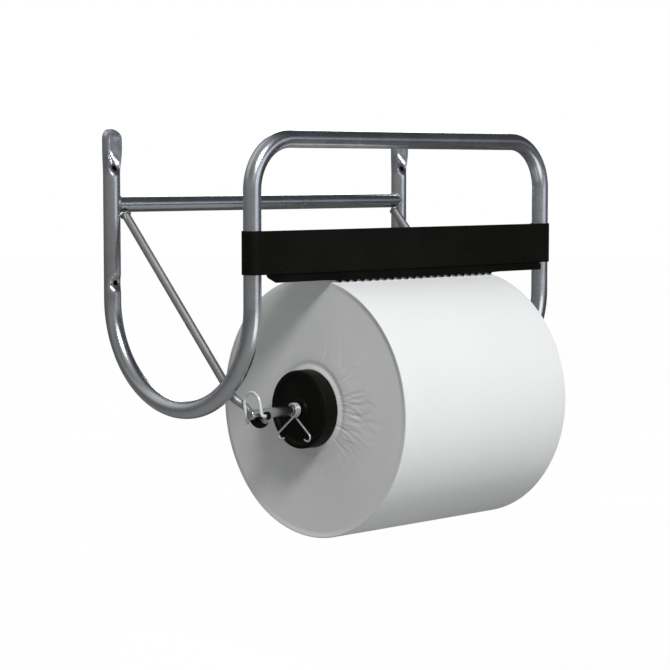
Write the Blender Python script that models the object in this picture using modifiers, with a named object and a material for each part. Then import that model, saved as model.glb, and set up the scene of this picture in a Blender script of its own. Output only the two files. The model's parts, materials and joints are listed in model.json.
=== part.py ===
"""Wall-mounted holder for a large paper roll.

A bent steel tube frame carries a tear band and two hooked braces. The roll turns on a loose axle
that lies in the hooks, held by two cones, two spring clips and two wire latches.

Metres, +Z up. The wall is the plane y = 0 and the holder stands out towards -Y. The origin is the
centre of the four wall screws, in the wall plane.
"""
import math

import bmesh
import bpy
from mathutils import Matrix, Vector

# ---------------------------------------------------------------- frame
TUBE_R = 0.009
TUBE_WALL = 0.0013
HALF_WIDTH = 0.218          # middle of the holder to the middle of a wall leg
LEG_Y = -TUBE_R
J_RADIUS = 0.1095
FRONT_Y = LEG_Y - 2 * J_RADIUS
SPRING_Z = -0.0764          # where the legs and posts run into the J bends
TOP_Z = 0.0892
CORNER_R = 0.051
LEG_TOP = 0.1012
HOLE_Z = 0.060
HOLE_R = 0.003
SPOON_START = 0.0465        # the leg's end is pressed into a spoon above this height
SPOON_FULL = 0.0765
SPOON_WALLS = 0.0045        # the two walls of the tube, pressed together in the spoon's hollow
SPOON_WIDER = 0.12
SPOON_RIM = 0.85            # half-width of the hollow, as a share of the tube's radius
SPOON_RIM_FORWARD = 0.003
TIP_DEPTH = 0.003           # the rounded tip runs to a point this far behind the tube's middle
TIP_SLOPE = 0.013
DIMPLE_DEPTH = 0.005
DIMPLE_HALF = 0.012
PAD_HALF = 0.0105

# ---------------------------------------------------------------- crossbar and braces
CROSS_R = 0.008
CROSS_WALL = 0.0012
CROSS_Z = 0.0221
BRACE_R = 0.0045
BRACE_X = HALF_WIDTH - TUBE_R - BRACE_R - 0.0003
BRACE_TOP_Z = 0.0174        # height of the brace's centre line at the leg's centre plane
HOOK_X = 0.1942
HOOK_ROD_R = 0.0036
SLEEVE_R = 0.0046
SLEEVE_WALL = 0.0007
HOOK_SWEEP = math.radians(125)
JOG_LENGTH = 0.020
JOG_CLEAR = 0.012           # straight length between the jog and the hook's arc
EYE_R = 0.0042
EYE_THICK = 0.004

# ---------------------------------------------------------------- axle, roll, cones, clips, latches
AXLE_R = 0.005
AXLE_HALF = 0.2077
AXLE_Y = -0.2116
AXLE_Z = -0.1843
HOOK_R = AXLE_R + SLEEVE_R + 0.0003
ROLL_R = 0.133
ROLL_HALF = 0.1225
ROLL_HOLE_R = 0.0395
CORE_OUT = 0.0392
CORE_IN = 0.0375
CONE_FRONT = 0.141
CONE_FLANGE_R = 0.040
CONE_BACK = 0.095
CONE_BORE = 0.0054
CLIP_X = 0.1465
CLIP_COIL_R = 0.0066
CLIP_WIRE_R = 0.001
CLIP_PITCH = 0.0023
CLIP_TURNS = 3
CLIP_SPREAD = math.radians(51)
CLIP_LEG = 0.029
CLIP_HOOK_R = 0.0041
LATCH_X = 0.2012
LATCH_WIRE_R = 0.0016
LATCH_ARCH_R = 0.01145
LATCH_PIVOT_LEG = 0.0143
LATCH_FREE_LEG = 0.0193
LATCH_TILT = math.radians(13.6)
PIN_HOLE_R = 0.0019

# ---------------------------------------------------------------- tear band and blade
BAND_BOTTOM = -0.0442
BAND_TOP = -0.0011
BAND_THICK = 0.0012
BAND_R = TUBE_R + 0.0010    # middle of the band's sheet round a post
BLADE_HALF = 0.207
BLADE_THICK = 0.001
BLADE_Y = -0.2366
BLADE_BEND_Z = -0.0447
BLADE_TOP_Z = -0.0275
LIP_TIP = 0.0122            # along the lip, from the bend to the points
LIP_VALLEY = 0.0092
LIP_ANGLE = math.radians(226.3)
LIP_CORNER = 0.006
TEETH = 22
TEETH_HALF = 0.1195
RIVETS = 5
RIVET_STEP = 0.045
RIVET_Z = -0.0355
RIVET_HOLE_R = 0.0019

STEEL = ("polished_steel", (0.62, 0.63, 0.66), 0.22, 1.0)
SPRING = ("spring_wire", (0.72, 0.72, 0.74), 0.25, 1.0)
BLACK = ("black_plastic", (0.012, 0.012, 0.010), 0.45, 0.0)
PAINT = ("black_paint", (0.015, 0.015, 0.012), 0.40, 0.0)
PAPER = ("white_paper", (0.86, 0.86, 0.85), 0.95, 0.0)
BOARD = ("cardboard", (0.62, 0.52, 0.40), 0.90, 0.0)


# ---------------------------------------------------------------- Blender helpers
def clear_scene():
    for old in list(bpy.data.objects):
        bpy.data.objects.remove(old, do_unlink=True)


def new_collection(name):
    made = bpy.data.collections.new(name)
    bpy.context.scene.collection.children.link(made)
    return made


def add(name, data, place=(0, 0, 0), turn=(0, 0, 0)):
    """Put data into the holder's collection as a named object."""
    made = bpy.data.objects.new(name, data)
    made.location = place
    made.rotation_euler = turn
    PARTS.objects.link(made)
    return made


def finish(part, look):
    """Give a part its own material and smooth, sharp-edged shading."""
    label, colour, roughness, metallic = look
    material = bpy.data.materials.new(part.name + "_" + label)
    material.use_nodes = True
    shader = material.node_tree.nodes["Principled BSDF"]
    shader.inputs["Base Color"].default_value = (*colour, 1.0)
    shader.inputs["Roughness"].default_value = roughness
    shader.inputs["Metallic"].default_value = metallic
    part.data.materials.clear()
    part.data.materials.append(material)
    if part.type == "MESH":
        part.data.shade_smooth()
        part.data.set_sharp_from_angle(angle=math.radians(40))
    return part


def as_cutter(tool):
    for owner in list(tool.users_collection):
        owner.objects.unlink(tool)
    CUTTERS.objects.link(tool)
    tool.hide_render = True
    tool.display_type = "WIRE"
    return tool


def boolean(part, tool, operation="DIFFERENCE"):
    modifier = part.modifiers.new(operation.lower(), "BOOLEAN")
    modifier.operation = operation
    modifier.solver = "EXACT"
    modifier.object = as_cutter(tool)


def wire(name, points, radius, resolution=2, place=(0, 0, 0), caps=True, radii=None):
    """A round wire or tube along points; resolution 2 gives 8 sides, 4 gives 12."""
    curve = bpy.data.curves.new(name, "CURVE")
    curve.dimensions = "3D"
    curve.bevel_depth = radius
    curve.bevel_resolution = resolution
    curve.use_fill_caps = caps
    spline = curve.splines.new("POLY")
    spline.points.add(len(points) - 1)
    for index, point in enumerate(points):
        spline.points[index].co = (*point, 1.0)
        spline.points[index].radius = radii[index] / radius if radii else 1.0
    return add(name, curve, place)


def meshed(part):
    """Replace a curve object by a mesh object with its caps welded on."""
    bpy.context.view_layer.update()
    graph = bpy.context.evaluated_depsgraph_get()
    mesh = bpy.data.meshes.new_from_object(part.evaluated_get(graph))
    work = bmesh.new()
    work.from_mesh(mesh)
    bmesh.ops.remove_doubles(work, verts=work.verts, dist=0.00001)
    bmesh.ops.recalc_face_normals(work, faces=work.faces)
    work.to_mesh(mesh)
    work.free()
    name = part.name
    matrix = part.matrix_world.copy()
    bpy.data.objects.remove(part, do_unlink=True)
    made = add(name, mesh)
    made.matrix_world = matrix
    return made


def rods(name, centres, radius, length, axis, sides=16):
    """One mesh of round bars, each centred on a point and lying along axis."""
    turn = Vector((0, 0, 1)).rotation_difference(Vector(axis)).to_matrix().to_4x4()
    work = bmesh.new()
    for centre in centres:
        bmesh.ops.create_cone(work, cap_ends=True, segments=sides, radius1=radius, radius2=radius,
                              depth=length, matrix=Matrix.Translation(centre) @ turn)
    mesh = bpy.data.meshes.new(name)
    work.to_mesh(mesh)
    work.free()
    return add(name, mesh)


def turned(name, profile, steps, place, turn, closed):
    """Turn a profile of (radius, height) points about the object's own Z axis."""
    mesh = bpy.data.meshes.new(name)
    count = len(profile)
    edges = [(index, (index + 1) % count) for index in range(count if closed else count - 1)]
    mesh.from_pydata([(radius, 0.0, height) for radius, height in profile], edges, [])
    made = add(name, mesh, place, turn)
    screw = made.modifiers.new("turn", "SCREW")
    screw.steps = steps
    screw.render_steps = steps
    screw.use_merge_vertices = True
    screw.merge_threshold = 0.00001
    screw.use_smooth_shade = True
    return made


def arc(centre, first, second, radius, start, stop, steps):
    """Points on an arc that turns from the direction first towards the direction second."""
    points = []
    for step in range(steps + 1):
        angle = start + (stop - start) * step / steps
        points.append(centre + radius * (math.cos(angle) * first + math.sin(angle) * second))
    return points


def spread(first, last, count):
    """Count + 1 evenly spaced values from first to last."""
    return [first + (last - first) * index / count for index in range(count + 1)]


def smooth(value):
    value = min(max(value, 0.0), 1.0)
    return value * value * (3 - 2 * value)


def side_name(base, side):
    return base + ("_left" if side < 0 else "_right")


# ---------------------------------------------------------------- frame tube
def leg_heights(top):
    """Heights of the tube's rings down a wall leg, close together where the leg is pressed."""
    tip = [LEG_TOP - step for step in (0.0003, 0.0015, 0.0035, 0.006, TUBE_R, TIP_SLOPE)]
    spoon = spread(SPOON_FULL + 0.004, SPOON_START, 5)
    dimple = spread(-HOLE_Z + DIMPLE_HALF, -HOLE_Z - DIMPLE_HALF, 6)
    return [top] + [z for z in tip + spoon + dimple if z < top]


def half_frame(leg_top):
    """Centre line of the tube from the left leg's end to the middle of the top bar."""
    x, y, z = Vector((1, 0, 0)), Vector((0, 1, 0)), Vector((0, 0, 1))
    points = [Vector((-HALF_WIDTH, LEG_Y, height)) for height in leg_heights(leg_top)]
    bend = Vector((-HALF_WIDTH, LEG_Y - J_RADIUS, SPRING_Z))
    points += arc(bend, y, -z, J_RADIUS, 0, math.pi, 18)
    corner = Vector((-HALF_WIDTH + CORNER_R, FRONT_Y, TOP_Z - CORNER_R))
    points += arc(corner, -x, z, CORNER_R, 0, math.pi / 2, 6)
    return points


def frame_line(leg_top):
    left = half_frame(leg_top)
    right = [Vector((-point.x, point.y, point.z)) for point in reversed(left)]
    return left + right


def rounding(z, length):
    """How much of its size a section keeps where the leg's end is rounded off over length."""
    above = max(z - (LEG_TOP - length), 0.0) / length
    return math.sqrt(max(1 - above ** 2, 0.0))


def press(point, outer):
    """Where a point of the plain tube ends up once the leg is pressed at its end and its holes."""
    side = math.copysign(1.0, point.x)
    across = abs(point.x) - HALF_WIDTH
    depth = point.y - LEG_Y
    z = point.z
    if z > SPOON_START:
        amount = smooth((z - SPOON_START) / (SPOON_FULL - SPOON_START))
        share = abs(across) / (SPOON_RIM * TUBE_R)
        if depth < 0 and share < 1:
            depth += amount * (1 - share ** 2) * (TUBE_R - SPOON_WALLS - depth)
        elif depth < -0.1 * TUBE_R:
            depth -= amount * SPOON_RIM_FORWARD
        across *= 1 + SPOON_WIDER * amount
    near_hole = abs(z + HOLE_Z)
    if depth < 0 and near_hole < DIMPLE_HALF:
        along = math.cos(math.pi / 2 * near_hole / DIMPLE_HALF) ** 2
        middle = max(1 - (across / TUBE_R) ** 2, 0.0)
        depth += DIMPLE_DEPTH * along * middle * min(-depth / 0.006, 1.0)
    if outer and depth > 0.8 * TUBE_R and abs(abs(z) - HOLE_Z) < PAD_HALF:
        depth = TUBE_R
    across *= rounding(z, TUBE_R)
    depth = TIP_DEPTH + (depth - TIP_DEPTH) * rounding(z, TIP_SLOPE)
    return Vector((side * (HALF_WIDTH + across), LEG_Y + depth, z))


def pressed_tube(name, leg_top, radius, outer):
    tube = meshed(wire(name, frame_line(leg_top), radius, resolution=4))
    for vertex in tube.data.vertices:
        on_leg = vertex.co.y > LEG_Y - 1.5 * TUBE_R and vertex.co.z > SPRING_Z
        if on_leg:
            vertex.co = press(vertex.co, outer)
    return tube


def make_frame():
    frame = pressed_tube("frame_tube", LEG_TOP, TUBE_R, True)
    boolean(frame, pressed_tube("tube_inside", SPOON_START - 0.003, TUBE_R - TUBE_WALL, False))
    holes = [(side * HALF_WIDTH, LEG_Y, up * HOLE_Z) for side in (-1, 1) for up in (-1, 1)]
    boolean(frame, rods("screw_drill", holes, HOLE_R, 0.04, (0, 1, 0)))
    return finish(frame, STEEL)


# ---------------------------------------------------------------- crossbar
def make_crossbar():
    centre = (0, LEG_Y, CROSS_Z)
    bar = rods("crossbar", [centre], CROSS_R, 2 * HALF_WIDTH, (1, 0, 0), sides=20)
    boolean(bar, rods("crossbar_inside", [centre], CROSS_R - CROSS_WALL, 0.5, (1, 0, 0), sides=20))
    legs = [(side * HALF_WIDTH, LEG_Y, CROSS_Z) for side in (-1, 1)]
    boolean(bar, rods("crossbar_cope", legs, TUBE_R + 0.0003, 0.05, (0, 0, 1), sides=24))
    return finish(bar, STEEL)


# ---------------------------------------------------------------- braces and hooks
class BraceLine:
    """The brace's straight line in the side view, tangent to the hook's arc round the axle."""

    def __init__(self):
        self.top = Vector((0, LEG_Y, BRACE_TOP_Z))
        self.axle = Vector((0, AXLE_Y, AXLE_Z))
        reach = (self.axle - self.top).length
        bearing = math.atan2(self.top.z - self.axle.z, self.top.y - self.axle.y)
        angle = bearing + math.asin(HOOK_R / reach)
        self.along = Vector((0, -math.cos(angle), -math.sin(angle)))
        self.normal = Vector((0, math.sin(angle), -math.cos(angle)))
        self.tangent = math.sqrt(reach ** 2 - HOOK_R ** 2)

    def at(self, distance, x):
        point = self.top + distance * self.along
        return Vector((x, point.y, point.z))

    def round_axle(self, side, start, stop, steps):
        centre = Vector((side * HOOK_X, AXLE_Y, AXLE_Z))
        return arc(centre, self.normal, self.along, HOOK_R, start, stop, steps)


def pivot_point(line, side):
    """Centre of the eye at the hook's tip, where the latch is hinged."""
    tip = line.round_axle(side, HOOK_SWEEP, HOOK_SWEEP, 1)[0]
    outward = (tip - Vector((side * HOOK_X, AXLE_Y, AXLE_Z))).normalized()
    forward = -math.sin(HOOK_SWEEP) * line.normal + math.cos(HOOK_SWEEP) * line.along
    return tip + 0.0013 * outward + 0.0014 * forward


def make_brace(line, side):
    jog_end = line.tangent - JOG_CLEAR
    jog_start = jog_end - JOG_LENGTH
    points = [line.at(CROSS_R + 0.0006, side * BRACE_X)]
    radii = [BRACE_R]
    for step in range(9):
        share = (1 - math.cos(math.pi * step / 8)) / 2
        x = BRACE_X + (HOOK_X - BRACE_X) * share
        points.append(line.at(jog_start + JOG_LENGTH * step / 8, side * x))
        radii.append(BRACE_R + (HOOK_ROD_R - BRACE_R) * share)
    hook = line.round_axle(side, 0, HOOK_SWEEP, 10)
    points += hook
    radii += [HOOK_ROD_R] * len(hook)
    name = side_name("brace", side)
    rod = meshed(wire(name, points, BRACE_R, resolution=3, radii=radii))
    pivot = pivot_point(line, side)
    boolean(rod, rods(name + "_eye", [pivot], EYE_R, EYE_THICK, (1, 0, 0)), "UNION")
    boolean(rod, rods(name + "_pin_drill", [pivot], PIN_HOLE_R, 0.02, (1, 0, 0), sides=12))
    return finish(rod, STEEL)


def make_sleeve(line, side):
    """The black covering of the hook's U, a thin open-ended tube round the rod."""
    points = [line.at(line.tangent - 0.008, side * HOOK_X)]
    points += line.round_axle(side, 0, math.radians(94), 8)
    mid = SLEEVE_R - SLEEVE_WALL / 2
    sleeve = meshed(wire(side_name("hook_sleeve", side), points, mid, resolution=3, caps=False))
    wall = sleeve.modifiers.new("wall", "SOLIDIFY")
    wall.thickness = SLEEVE_WALL
    wall.offset = 0
    wall.use_even_offset = True
    return finish(sleeve, BLACK)


# ---------------------------------------------------------------- tear band, blade and rivets
def rivet_places():
    middle = (RIVETS - 1) / 2
    return [((index - middle) * RIVET_STEP * 2, BLADE_Y, RIVET_Z) for index in range(RIVETS)]


def rivet_drill():
    return rods("rivet_drill", rivet_places(), RIVET_HOLE_R, 0.012, (0, 1, 0), sides=12)


def make_band():
    """A strip that runs across the fronts of the posts and hooks round each of them."""
    x, y = Vector((1, 0, 0)), Vector((0, 1, 0))
    start, stop = math.radians(45), math.radians(270)
    left = arc(Vector((-HALF_WIDTH, FRONT_Y, 0)), x, y, BAND_R, start, stop, 15)
    points = left + [Vector((-point.x, point.y, 0)) for point in reversed(left)]
    curve = bpy.data.curves.new("tear_band", "CURVE")
    curve.dimensions = "2D"
    curve.fill_mode = "NONE"
    curve.extrude = (BAND_TOP - BAND_BOTTOM) / 2
    spline = curve.splines.new("POLY")
    spline.points.add(len(points) - 1)
    for index, point in enumerate(points):
        spline.points[index].co = (*point, 1.0)
    band = meshed(add("tear_band", curve, (0, 0, (BAND_TOP + BAND_BOTTOM) / 2)))
    sheet = band.modifiers.new("sheet", "SOLIDIFY")
    sheet.thickness = BAND_THICK
    sheet.offset = 0
    sheet.use_even_offset = True
    boolean(band, rivet_drill())
    return finish(band, PAINT)


def lip_outline():
    """Outline of the blade's lip: straight at the bend, toothed over the middle of its edge."""
    pitch = 2 * TEETH_HALF / TEETH
    edge = [(-TEETH_HALF, LIP_VALLEY)]
    for tooth in range(TEETH):
        left = -TEETH_HALF + tooth * pitch
        edge.append((left + pitch / 2, LIP_TIP))
        edge.append((left + pitch, LIP_VALLEY))
    root = -BLADE_THICK / 4
    left_end = [(-BLADE_HALF, root), (-BLADE_HALF, LIP_VALLEY - LIP_CORNER),
                (-BLADE_HALF + LIP_CORNER, LIP_VALLEY)]
    right_end = [(-across, along) for across, along in reversed(left_end)]
    return left_end + edge + right_end


def make_blade():
    """A toothed strip: an upright flange behind the band and a lip bent forward under it."""
    curve = bpy.data.curves.new("lip", "CURVE")
    curve.dimensions = "2D"
    curve.fill_mode = "BOTH"
    curve.extrude = BLADE_THICK / 2
    outline = lip_outline()
    spline = curve.splines.new("POLY")
    spline.points.add(len(outline) - 1)
    spline.use_cyclic_u = True
    for index, (across, along) in enumerate(outline):
        spline.points[index].co = (across, along, 0, 1.0)
    lip = meshed(add("blade_lip", curve, (0, BLADE_Y, BLADE_BEND_Z), (LIP_ANGLE, 0, 0)))
    height = BLADE_TOP_Z - BLADE_BEND_Z
    work = bmesh.new()
    size = Matrix.Diagonal((2 * BLADE_HALF, BLADE_THICK, height, 1))
    bmesh.ops.create_cube(work, size=1, matrix=size)
    mesh = bpy.data.meshes.new("saw_blade")
    work.to_mesh(mesh)
    work.free()
    blade = add("saw_blade", mesh, (0, BLADE_Y, (BLADE_TOP_Z + BLADE_BEND_Z) / 2))
    boolean(blade, lip, "UNION")
    boolean(blade, rivet_drill())
    return finish(blade, PAINT)


def make_rivets():
    front = -FRONT_Y + BAND_R + BAND_THICK / 2 + 0.0002
    grip = front + BLADE_Y + BLADE_THICK / 2 + 0.0002
    profile = [(0, 0.0013), (0.0018, 0.0011), (0.0029, 0.0005), (0.0032, 0), (0.0016, 0),
               (0.0016, -grip), (0.0029, -grip), (0.0026, -grip - 0.0008), (0, -grip - 0.0009)]
    for index, (x, _, z) in enumerate(rivet_places()):
        rivet = turned(f"blade_rivet_{index + 1}", profile, 10, (x, -front, z), (math.pi / 2, 0, 0), False)
        finish(rivet, PAINT)


# ---------------------------------------------------------------- axle, roll and cones
def outward(side):
    """Turns an object's own Z axis to point away from the middle of the holder."""
    return (0, side * math.pi / 2, 0)


def make_axle():
    cut = 0.0008
    profile = [(0, AXLE_HALF), (AXLE_R - cut, AXLE_HALF), (AXLE_R, AXLE_HALF - cut),
               (AXLE_R, cut - AXLE_HALF), (AXLE_R - cut, -AXLE_HALF), (0, -AXLE_HALF)]
    return finish(turned("axle", profile, 24, (0, AXLE_Y, AXLE_Z), outward(1), False), STEEL)


def ring(name, inner, outer, half, steps, cut, look):
    profile = [(inner, half), (outer - cut, half), (outer, half - cut), (outer, cut - half),
               (outer - cut, -half), (inner, -half)]
    return finish(turned(name, profile, steps, (0, AXLE_Y, AXLE_Z), outward(1), True), look)


def make_cone(side):
    """A hollow plug: a dished flange outside the roll and a taper inside the core."""
    wall = 0.003
    flange_in = ROLL_HALF + 0.0005
    dish = CONE_FRONT - 0.003
    rim = CONE_FLANGE_R - 0.005
    boss = 0.010
    taper_top = CORE_IN - 0.0006
    taper_end = CORE_IN - 0.004
    profile = [(CONE_BORE, CONE_FRONT), (boss, CONE_FRONT), (boss + 0.001, dish), (rim - 0.002, dish),
               (rim, CONE_FRONT), (CONE_FLANGE_R - 0.001, CONE_FRONT),
               (CONE_FLANGE_R, CONE_FRONT - 0.001), (CONE_FLANGE_R, flange_in), (taper_top, flange_in),
               (taper_end, CONE_BACK), (taper_end - wall, CONE_BACK), (taper_top - wall, dish - wall),
               (boss, dish - wall), (boss, CONE_BACK + 0.01), (CONE_BORE, CONE_BACK + 0.01)]
    place = (0, AXLE_Y, AXLE_Z)
    return finish(turned(side_name("cone", side), profile, 32, place, outward(side), True), BLACK)


# ---------------------------------------------------------------- spring clips
def clip_leg(x, toward):
    """Points from the coil down one leg and round its hook; toward is +1 at the wall side."""
    down = Vector((0, toward * math.sin(CLIP_SPREAD), -math.cos(CLIP_SPREAD)))
    inner = Vector((0, -toward * math.cos(CLIP_SPREAD), -math.sin(CLIP_SPREAD)))
    start = CLIP_COIL_R * inner
    end = start + CLIP_LEG * down
    points = [start, end]
    points += arc(end + CLIP_HOOK_R * inner, -inner, down, CLIP_HOOK_R, 0, math.radians(165), 7)[1:]
    back = (points[-1] - points[-2]).normalized()
    points.append(points[-1] + 0.003 * back)
    return [Vector((x, point.y, point.z)) for point in points]


def make_clip(side):
    """A torsion spring: a coil on the axle and two crossed legs with inward hooks."""
    first = -math.pi / 2 + CLIP_SPREAD
    sweep = 2 * math.pi * CLIP_TURNS - 2 * CLIP_SPREAD
    length = CLIP_PITCH * sweep / (2 * math.pi)
    steps = 12 * CLIP_TURNS - 2
    coil = []
    for step in range(1, steps):
        angle = first + sweep * step / steps
        x = side * (step / steps - 0.5) * length
        coil.append(Vector((x, CLIP_COIL_R * math.cos(angle), CLIP_COIL_R * math.sin(angle))))
    points = list(reversed(clip_leg(-side * length / 2, -1))) + coil + clip_leg(side * length / 2, 1)
    place = (side * CLIP_X, AXLE_Y, AXLE_Z)
    return finish(wire(side_name("clip", side), points, CLIP_WIRE_R, place=place), SPRING)


# ---------------------------------------------------------------- latches
def make_latch(line, side):
    """An upside-down U of wire over the axle's end, hinged on a stub in the hook's eye."""
    up = Vector((0, math.sin(LATCH_TILT), math.cos(LATCH_TILT)))
    back = Vector((0, math.cos(LATCH_TILT), -math.sin(LATCH_TILT)))
    inside = Vector((-side, 0, 0))
    stub = LATCH_X - HOOK_X + EYE_THICK / 2 + 0.0015
    bend = 0.0026
    points = [stub * inside]
    points += arc(bend * (inside + up), -up, -inside, bend, 0, math.pi / 2, 4)
    middle = LATCH_PIVOT_LEG * up + LATCH_ARCH_R * back
    points += arc(middle, -back, up, LATCH_ARCH_R, 0, math.pi, 12)
    points.append(2 * LATCH_ARCH_R * back + (LATCH_PIVOT_LEG - LATCH_FREE_LEG) * up)
    pivot = pivot_point(line, side)
    place = (side * LATCH_X, pivot.y, pivot.z)
    return finish(wire(side_name("latch", side), points, LATCH_WIRE_R, place=place), SPRING)


# ---------------------------------------------------------------- the whole holder
clear_scene()
PARTS = new_collection("paper_roll_holder")
CUTTERS = new_collection("cutters")

make_frame()
make_crossbar()
brace_line = BraceLine()
for hand in (-1, 1):
    make_brace(brace_line, hand)
    make_sleeve(brace_line, hand)
    make_cone(hand)
    make_clip(hand)
    make_latch(brace_line, hand)
make_band()
make_blade()
make_rivets()
make_axle()
ring("paper_roll", ROLL_HOLE_R, ROLL_R, ROLL_HALF, 56, 0.0015, PAPER)
ring("roll_core", CORE_IN, CORE_OUT, ROLL_HALF, 40, 0.0003, BOARD)
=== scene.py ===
import json
import math

import bmesh
import bpy
import numpy as np
from bpy.props import FloatProperty, FloatVectorProperty, IntProperty, PointerProperty
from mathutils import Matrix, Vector


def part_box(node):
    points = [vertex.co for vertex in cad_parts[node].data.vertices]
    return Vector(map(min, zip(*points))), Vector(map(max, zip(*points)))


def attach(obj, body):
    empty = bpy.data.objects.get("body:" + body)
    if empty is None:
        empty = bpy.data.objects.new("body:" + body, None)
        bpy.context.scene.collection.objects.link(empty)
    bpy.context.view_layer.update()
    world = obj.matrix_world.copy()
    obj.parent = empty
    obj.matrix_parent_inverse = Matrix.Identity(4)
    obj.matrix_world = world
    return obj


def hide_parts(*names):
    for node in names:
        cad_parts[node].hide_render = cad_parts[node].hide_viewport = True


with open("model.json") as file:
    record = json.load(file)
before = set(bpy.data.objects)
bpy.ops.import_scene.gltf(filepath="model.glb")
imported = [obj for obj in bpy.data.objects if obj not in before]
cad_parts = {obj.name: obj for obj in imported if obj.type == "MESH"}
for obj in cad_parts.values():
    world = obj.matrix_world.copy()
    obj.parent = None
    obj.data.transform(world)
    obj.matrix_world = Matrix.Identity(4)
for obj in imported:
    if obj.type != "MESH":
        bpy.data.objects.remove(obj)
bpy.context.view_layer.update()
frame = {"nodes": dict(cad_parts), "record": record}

bl_info = {
    "name": "Wall paper roll holder",
    "version": (1, 0, 0),
    "blender": (4, 5, 0),
    "location": "View3D > Sidebar > Roll holder",
    "description": "Builds the finished surfaces of a wall-mounted paper roll holder round its frame",
    "category": "Add Mesh",
}

SIDES = (("left", -1), ("right", 1))
X, Y, Z = np.eye(3)


def joint_place(name):
    """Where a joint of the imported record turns."""
    joints = frame["record"]["behaviour"]["joints"]
    return np.array(next(joint for joint in joints if joint["name"] == name)["pos_m"])


AXLE = joint_place("axle_turn")


def edges(node):
    """A node's lowest and highest corners as arrays."""
    low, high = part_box(node)
    return np.array(low), np.array(high)


# ================================================================ sizes and colours
def metres(name, description, default):
    """A length in metres that a user can change."""
    return FloatProperty(name=name, description=description, default=default, unit="LENGTH")


def turn_size(name, description, degrees):
    """An angle that a user can change, given in degrees and kept in radians."""
    return FloatProperty(name=name, description=description, default=math.radians(degrees),
                         subtype="ANGLE")


def colour_of(name, description, default):
    """A colour that a user can change."""
    return FloatVectorProperty(name=name, description=description, default=default, subtype="COLOR")


class HolderSizes(bpy.types.PropertyGroup):
    """Sizes of the holder's pieces; places come from the frame."""
    tube_radius: metres("Tube radius", "Outer radius of the frame tube", 0.009)
    leg_spacing: metres("Leg half spacing", "Middle of the holder to a wall leg", 0.218)
    corner_radius: metres("Corner radius", "Bend radius at the top corners", 0.051)
    hole_height: metres("Hole height", "Screw holes above and below the middle", 0.060)
    hole_radius: metres("Hole radius", "Radius of a screw hole", 0.003)
    spoon_start: metres("Spoon start", "Height where the pressed hollow begins", 0.0520)
    spoon_full: metres("Spoon full", "Height where the hollow is at full depth", 0.0800)
    dimple_depth: metres("Dimple depth", "How far the front sinks at a lower hole", 0.0042)
    dimple_reach: metres("Dimple reach", "Height of the dimple above and below its hole", 0.010)
    tip_slope: metres("Tip slope", "Height over which a leg's end thins to its edge", 0.013)
    cross_radius: metres("Crossbar radius", "Outer radius of the crossbar", 0.0084)
    brace_radius: metres("Brace radius", "Radius of a brace rod", 0.0045)
    brace_jog: metres("Brace jog", "Length of the brace's inward step", 0.020)
    hook_rod_radius: metres("Hook rod radius", "Radius of the rod inside a hook", 0.0036)
    hook_sweep: turn_size("Hook sweep", "How far the hook runs round the axle", 125)
    sleeve_radius: metres("Hook sleeve radius", "Outer radius of a hook's sleeve", 0.0046)
    sleeve_wall: metres("Hook sleeve wall", "Thickness of a hook's sleeve", 0.0007)
    sleeve_sweep: turn_size("Hook sleeve sweep", "How far the sleeve runs round the axle", 94)
    eye_radius: metres("Eye radius", "Radius of the eye that holds a latch", 0.0042)
    eye_hole: metres("Eye hole radius", "Radius of the hole in that eye", 0.0019)
    eye_thickness: metres("Eye thickness", "Thickness of that eye", 0.0040)
    band_thickness: metres("Band thickness", "Thickness of the tear band", 0.0012)
    blade_thickness: metres("Blade thickness", "Thickness of the toothed strip", 0.001)
    blade_flange: metres("Blade flange", "Height of the strip's upright part", 0.0172)
    lip_angle: turn_size("Lip angle", "Direction of the strip's lip, from the room side up", 226.3)
    lip_end: metres("Lip at the ends", "Width of the lip beside the teeth", 0.0100)
    lip_valley: metres("Lip at the roots", "Width of the lip between the teeth", 0.0106)
    tooth_length: metres("Tooth length", "How far a tooth stands out of its roots", 0.0031)
    teeth_half: metres("Toothed half length", "Middle of the strip to its last tooth", 0.1195)
    teeth: IntProperty(name="Teeth", description="Number of teeth on the blade", default=22)
    rivets: IntProperty(name="Rivets", description="Number of rivets in the blade", default=5)
    rivet_head: metres("Rivet head radius", "Radius of a rivet's domed head", 0.0032)
    rivet_dome: metres("Rivet dome", "Height of that head", 0.0013)
    rivet_shank: metres("Rivet shank radius", "Radius of a rivet's shank", 0.0016)
    axle_radius: metres("Axle radius", "Radius of the axle rod", 0.005)
    cone_bore: metres("Cone bore", "Radius of the hole through a cone", 0.0054)
    cone_wall: metres("Cone wall", "Thickness of a cone's walls", 0.003)
    cone_taper: metres("Cone taper", "How much narrower a cone is at its inner end", 0.0034)
    clip_wire: metres("Clip wire radius", "Radius of the spring clip's wire", 0.001)
    clip_coil: metres("Clip coil radius", "Radius of the spring clip's coil", 0.0066)
    clip_pitch: metres("Clip pitch", "Distance between the coil's turns", 0.0023)
    clip_turns: IntProperty(name="Clip turns", description="Turns in the clip's coil", default=3)
    clip_spread: turn_size("Clip spread", "Lean of each leg of the clip", 51)
    clip_leg: metres("Clip leg", "Length of a clip's straight leg", 0.029)
    clip_hook: metres("Clip hook radius", "Radius of the hook at a leg's end", 0.0041)
    latch_wire: metres("Latch wire radius", "Radius of the latch's wire", 0.0016)
    latch_arch: metres("Latch arch radius", "Radius of the latch's arch", 0.01145)
    latch_pivot_leg: metres("Latch pivot leg", "Length of the hinged leg", 0.0143)
    latch_free_leg: metres("Latch free leg", "Length of the free leg", 0.0193)
    latch_bend: metres("Latch bend", "Bend radius where the leg turns into its stub", 0.0026)
    latch_lean: turn_size("Latch lean", "Lean of the latch towards the wall", 13.6)


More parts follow.
